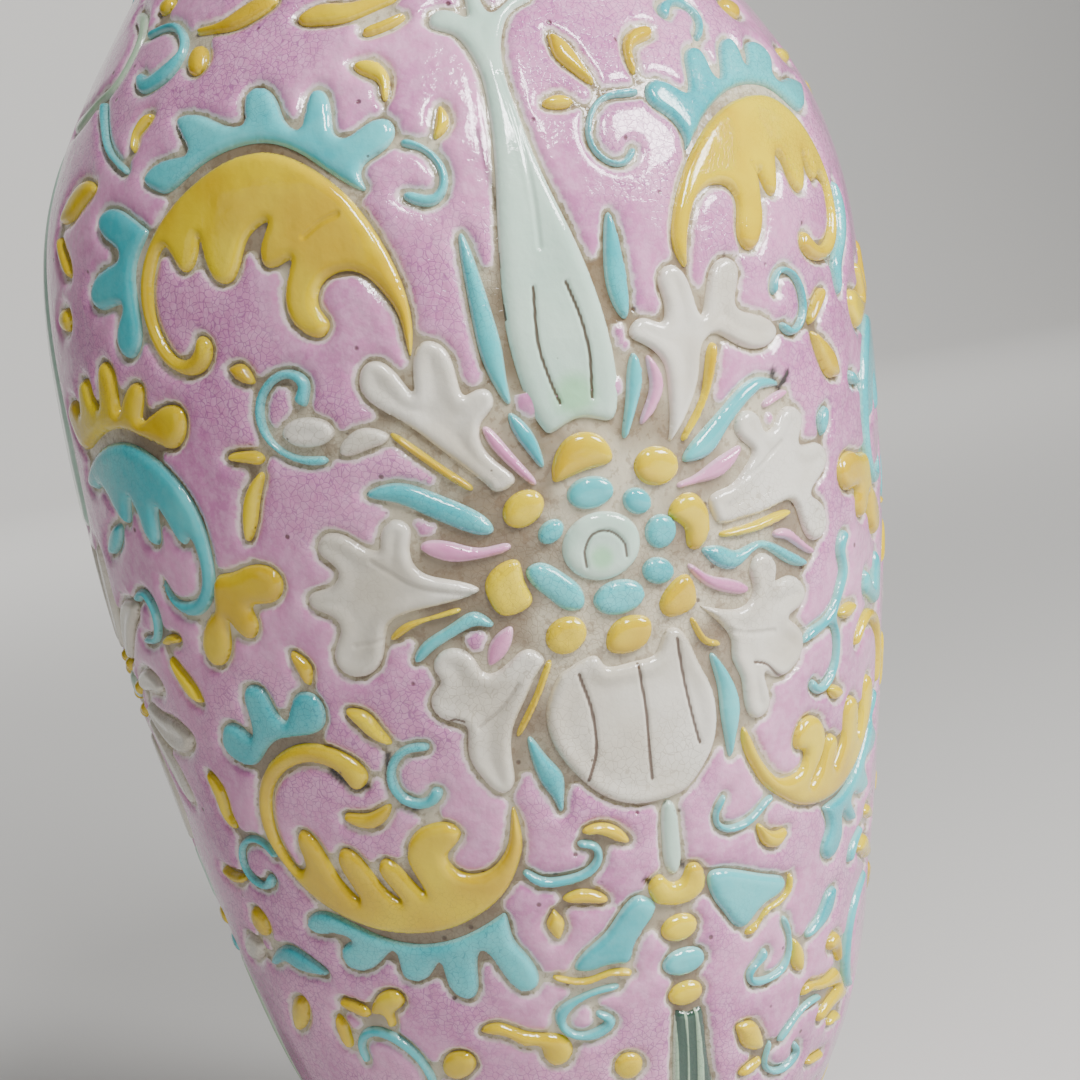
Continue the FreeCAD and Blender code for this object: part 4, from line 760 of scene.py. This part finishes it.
def finish_surface(bench, shader, crack, speck, ripple, strength):
    """Joins the glaze's skin to the shader as a bump."""
    height = place_group(bench, SKIN, Crack=crack, Speck=speck, Ripple=ripple)["Height"]
    bump = bench("Bump", {"Height": height, "Strength": strength, "Distance": 0.0004})
    bench.tree.links.new(bump.outputs["Normal"], shader.inputs["Normal"])


def pad_glaze(name, body, pool, edge, crack_colour, cells=900.0, spread=0.5, dirt_colour=BROWN,
              crack_share=0.5, roughness=0.12):
    """The glaze of the relief pads: its body colour pooled and mottled, paler at the outline where
    it runs thin, crackled, specked, and dark in the cut lines."""
    material, bench, shader = glaze_base(name, roughness, 0.6)
    rise, dirt_and_shade, tone = [attribute(bench, label) for label in ("rise", "dirt_and_shade", "tone")]
    kiln = place_group(bench, KILN)
    crack = place_group(bench, CRACKLE, Cells=cells, Spread=spread)["Crack"]
    speck = place_group(bench, SPECKS, Share=0.05, Size=0.11)["Speck"]
    shade = bench.blend(kiln["Pool"], body, pool)
    dark = bench("HueSaturation", {"Color": shade, "Value": 0.86, "Saturation": 1.06}).outputs[0]
    shade = bench.blend(bench.sums("MULTIPLY", tone, 0.55), shade, dark)
    shade = bench.blend(bench.sums("MULTIPLY", kiln["Mottle"], 0.1), shade, edge)
    shade = bench.blend(bench.ramp(rise, 0.0, 0.6, 0.7, 0.0), shade, edge)
    green = bench.sums("MULTIPLY", attribute(bench, "green"), 0.65)
    shade = bench.blend(green, shade, colour(136, 200, 140))
    shade = bench.blend(bench.sums("MULTIPLY", crack, crack_share), shade, crack_colour)
    shade = bench.blend(bench.sums("MULTIPLY", speck, 0.7), shade, BROWN)
    shade = bench.blend(bench.ramp(dirt_and_shade, 0.15, 0.85, 0.0, 0.9), shade, dirt_colour)
    bench.tree.links.new(shade, shader.inputs["Base Color"])
    finish_surface(bench, shader, crack, speck, 0.5, 0.5)
    return material


def ground_glaze():
    """The puffed ground and its channels: bare grey-olive clear glaze in the channels, browner right
    beside the pads with painted crevice shade mixed with lodged dirt, a pale rim where the enamel
    starts, then pink that is mottled, crackled and pinholed, and near-black painted hollow shade at the
    enamel's gaps."""
    material, bench, shader = glaze_base("pink_ground", 0.13, 0.6)
    rise = attribute(bench, "rise")
    kiln = place_group(bench, KILN, Slow=38.0, Quick=420.0)
    crack = place_group(bench, CRACKLE, Cells=800.0, Width=0.09, Spread=0.6)["Crack"]
    speck = place_group(bench, SPECKS, Cells=230.0, Share=0.2)["Speck"]
    wobble = bench("Math", {0: kiln["Mottle"], 1: -0.35, 2: rise}, operation="MULTIPLY_ADD").outputs[0]
    pink = bench.blend(kiln["Pool"], colour(220, 148, 190), colour(194, 120, 168))
    pink = bench.blend(bench.sums("MULTIPLY", kiln["Mottle"], 0.34), pink, colour(232, 188, 214))
    pink = bench.blend(bench.sums("MULTIPLY", crack, 0.7), pink, colour(150, 84, 140))
    rim = bench.ramp(wobble, 0.75, 1.5, 0.9, 0.0)
    pink = bench.blend(rim, pink, colour(232, 214, 214))
    bare = bench.blend(kiln["Pool"], colour(204, 194, 170), colour(168, 156, 130))
    bare = bench.blend(bench.ramp(kiln["Mottle"], 0.55, 1.0, 0.0, 0.45), bare, colour(120, 98, 72))
    bare = bench.blend(bench.sums("MULTIPLY", crack, 0.35), bare, colour(120, 104, 82))
    # painted crevice shade mixed with lodged dirt: the channel turns browner right beside the pads, in
    # patches
    crease_shade_and_dirt = bench.ramp(wobble, -0.1, 0.4, 0.6, 0.0)
    crease_shade_and_dirt = bench.sums("MULTIPLY", crease_shade_and_dirt, bench.ramp(kiln["Pool"], 0.25, 0.8))
    bare = bench.blend(crease_shade_and_dirt, bare, colour(96, 70, 44))
    shade = bench.blend(bench.ramp(wobble, 0.5, 0.72), bare, pink)
    shade = bench.blend(bench.sums("MULTIPLY", speck, 0.8), shade, BROWN)
    # near-black painted shade in the deep hollows beside the pads, where the enamel also has gaps
    shade = bench.blend(attribute(bench, "dirt_and_shade"), shade, colour(34, 24, 20))
    bench.tree.links.new(shade, shader.inputs["Base Color"])
    finish_surface(bench, shader, crack, speck, 0.8, 0.65)
    return material


def foot_clay():
    """Bare fired clay: sandy, pitted and dry."""
    material, bench, shader = glaze_base("foot_clay", 0.75, 0.0)
    kiln = place_group(bench, KILN, Slow=80.0, Quick=700.0)
    speck = place_group(bench, SPECKS, Cells=700.0, Share=0.3)["Speck"]
    shade = bench.blend(kiln["Pool"], CLAY, colour(170, 150, 124))
    shade = bench.blend(bench.sums("MULTIPLY", kiln["Mottle"], 0.4), shade, colour(214, 204, 188))
    shade = bench.blend(bench.sums("MULTIPLY", speck, 0.8), shade, BROWN)
    bench.tree.links.new(shade, shader.inputs["Base Color"])
    finish_surface(bench, shader, kiln["Mottle"], speck, 1.5, 0.9)
    return material


GLAZES = {
    "pink_glaze": ground_glaze(),
    "foot_clay": foot_clay(),
    "yellow_glaze": pad_glaze("yellow_enamel", colour(238, 210, 0), colour(210, 172, 0),
                              colour(224, 200, 60), colour(140, 100, 10), crack_share=0.35),
    "turquoise_glaze": pad_glaze("turquoise_enamel", colour(96, 204, 208), colour(56, 176, 186),
                                 colour(160, 212, 206), colour(20, 104, 128), spread=0.6),
    "cream_glaze": pad_glaze("cream_enamel", colour(232, 228, 216), colour(208, 200, 182),
                             colour(220, 212, 194), colour(150, 134, 110), cells=700.0, spread=0.6,
                             crack_share=0.45),
    "celadon_glaze": pad_glaze("celadon_enamel", colour(200, 226, 208), colour(182, 214, 196),
                               colour(216, 228, 214), colour(120, 160, 140), spread=0.3, crack_share=0.3),
    "dark_green_glaze": pad_glaze("green_enamel", colour(186, 208, 176), colour(160, 190, 158),
                                  colour(206, 216, 196), colour(90, 120, 100),
                                  dirt_colour=colour(0, 50, 44)),
    "rose_glaze": pad_glaze("rose_enamel", colour(232, 158, 196), colour(214, 128, 178),
                            colour(234, 200, 214), colour(150, 80, 130)),
}


# ---------------------------------------------------------------- the vase

LOOPS = {name: pad_loops(name) for name in SLOT_OF if name not in WALLS}
ground_pieces([loop for loops in LOOPS.values() for loop in loops])
for node_name in LOOPS:
    relief_piece(node_name)


def lip_and_inside():
    """The lip as half an oval over the wall's top, and the inner face of the wall down to the
    floor, closed at the axis, as one turned surface."""
    inner, low, high = wall_profile(("lower_body", "upper_body", "neck"), -1, 4.0)
    points, triangles, normals = node_triangles("lower_body")
    floor = points[triangles[normals[:, 2] > 0.999]][:, :, 2].min()
    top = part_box("neck")[1].z / MM
    end_level = profile.level[-1]
    outer_radius, inner_radius = profile.radius[-1], inner(high)
    turn = np.linspace(0, math.pi, 13)
    middle, half = (outer_radius + inner_radius) / 2, (outer_radius - inner_radius) / 2
    lip = np.stack([middle + half * np.cos(turn), end_level + (top - end_level) * np.sin(turn)], axis=1)
    levels = np.linspace(min(high, end_level) - 2.0, max(low, floor + 1.0), 90)
    wall = np.stack([inner(levels), levels], axis=1)
    ground = np.stack([np.linspace(wall[-1, 0] - 1.5, 0, 12), np.full(12, floor)], axis=1)
    turned_piece("inside_glaze", np.concatenate([lip, wall, ground])[::-1], "pink_glaze", [])


def foot():
    """The foot ring turned from its own section with rounded edges, and the flat clay under it."""
    points = node_triangles("foot_ring")[0]
    radii = np.hypot(points[:, 0], points[:, 1])
    outer, inner, height = radii.max(), radii.min(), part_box("foot_ring")[1].z / MM
    edge = FOOT_ROUND
    turn = np.linspace(0, math.pi / 2, 6)
    path = [(profile.radius[0] - 2, height)]
    path += [(outer - edge + edge * math.sin(a), height - edge + edge * math.cos(a)) for a in turn]
    path += [(outer - edge + edge * math.cos(a), edge - edge * math.sin(a)) for a in turn]
    path += [(inner + edge - edge * math.sin(a), edge - edge * math.cos(a)) for a in turn]
    path += [(inner, height), (0, height)]
    turned_piece("foot_glaze_ring", path[::-1], "foot_clay", ["foot_ring"])


lip_and_inside()
foot()


# ---------------------------------------------------------------- floor, light and camera

def stage_set():
    """A wide pale floor that curves up into a pale wall far behind."""
    run = [(-9.0, 0.0)] + [(3.2 + 1.2 * math.sin(a), 1.2 - 1.2 * math.cos(a))
                           for a in np.linspace(0, math.pi / 2, 16)] + [(4.4, 5.0)]
    side = (-9.0, 9.0)
    points = [(x, y, z) for y, z in run for x in side]
    faces = [(2 * i, 2 * i + 1, 2 * i + 3, 2 * i + 2) for i in range(len(run) - 1)]
    mesh = bpy.data.meshes.new("studio_floor")
    mesh.from_pydata(points, [], faces)
    mesh.shade_smooth()
    floor = bpy.data.objects.new("studio_floor", mesh)
    bpy.context.scene.collection.objects.link(floor)
    material = bpy.data.materials.new("studio_grey")
    material.use_nodes = True
    shader = material.node_tree.nodes["Principled BSDF"]
    shader.inputs["Base Color"].default_value = colour(214, 212, 208)
    shader.inputs["Roughness"].default_value = 0.85
    mesh.materials.append(material)


def soft_light(name, place, target, width, height, watts):
    """A soft rectangle of light at a place, turned to its target."""
    light = bpy.data.lights.new(name, "AREA")
    light.shape = "RECTANGLE"
    light.size, light.size_y = width, height
    light.energy = watts
    lamp = bpy.data.objects.new(name, light)
    lamp.location = place
    lamp.rotation_euler = (Vector(target) - Vector(place)).to_track_quat("-Z", "Y").to_euler()
    bpy.context.scene.collection.objects.link(lamp)


def studio():
    """A strong soft light from the upper right, a strip high in front for the long gleam, one on
    the backdrop, a weak fill from the left, and a dim room."""
    soft_light("key_light", (0.85, -0.62, 0.8), (0, 0, 0.2), 0.42, 0.42, 21.0)
    soft_light("gleam_light", (0.16, -0.80, 1.0), (0, 0, 0.25), 0.16, 0.45, 12.0)
    soft_light("backdrop_light", (0, 1.6, 2.4), (0, 4.2, 0.8), 3.0, 1.0, 110.0)
    soft_light("fill_light", (-1.3, -0.9, 0.5), (0, 0, 0.2), 1.2, 1.2, 2.0)
    world = bpy.data.worlds.new("room")
    world.use_nodes = True
    world.node_tree.nodes["Background"].inputs["Color"].default_value = (0.75, 0.78, 0.82, 1.0)
    world.node_tree.nodes["Background"].inputs["Strength"].default_value = 0.16
    bpy.context.scene.world = world


def camera():
    """Looks a little down at the front, turned and rolled as a hand-held camera."""
    lens = bpy.data.cameras.new("camera")
    lens.lens, lens.sensor_width = 72.2, 36.0
    holder = bpy.data.objects.new("camera", lens)
    turn = (Matrix.Rotation(math.radians(-13.1), 4, "Z") @ Matrix.Rotation(math.radians(83.5), 4, "X")
            @ Matrix.Rotation(math.radians(-1.15), 4, "Y") @ Matrix.Rotation(math.radians(-9.5), 4, "Z"))
    holder.matrix_world = Matrix.Translation((-0.1119, -0.4810, 0.2213)) @ turn
    bpy.context.scene.collection.objects.link(holder)
    bpy.context.scene.camera = holder


stage_set()
studio()
camera()
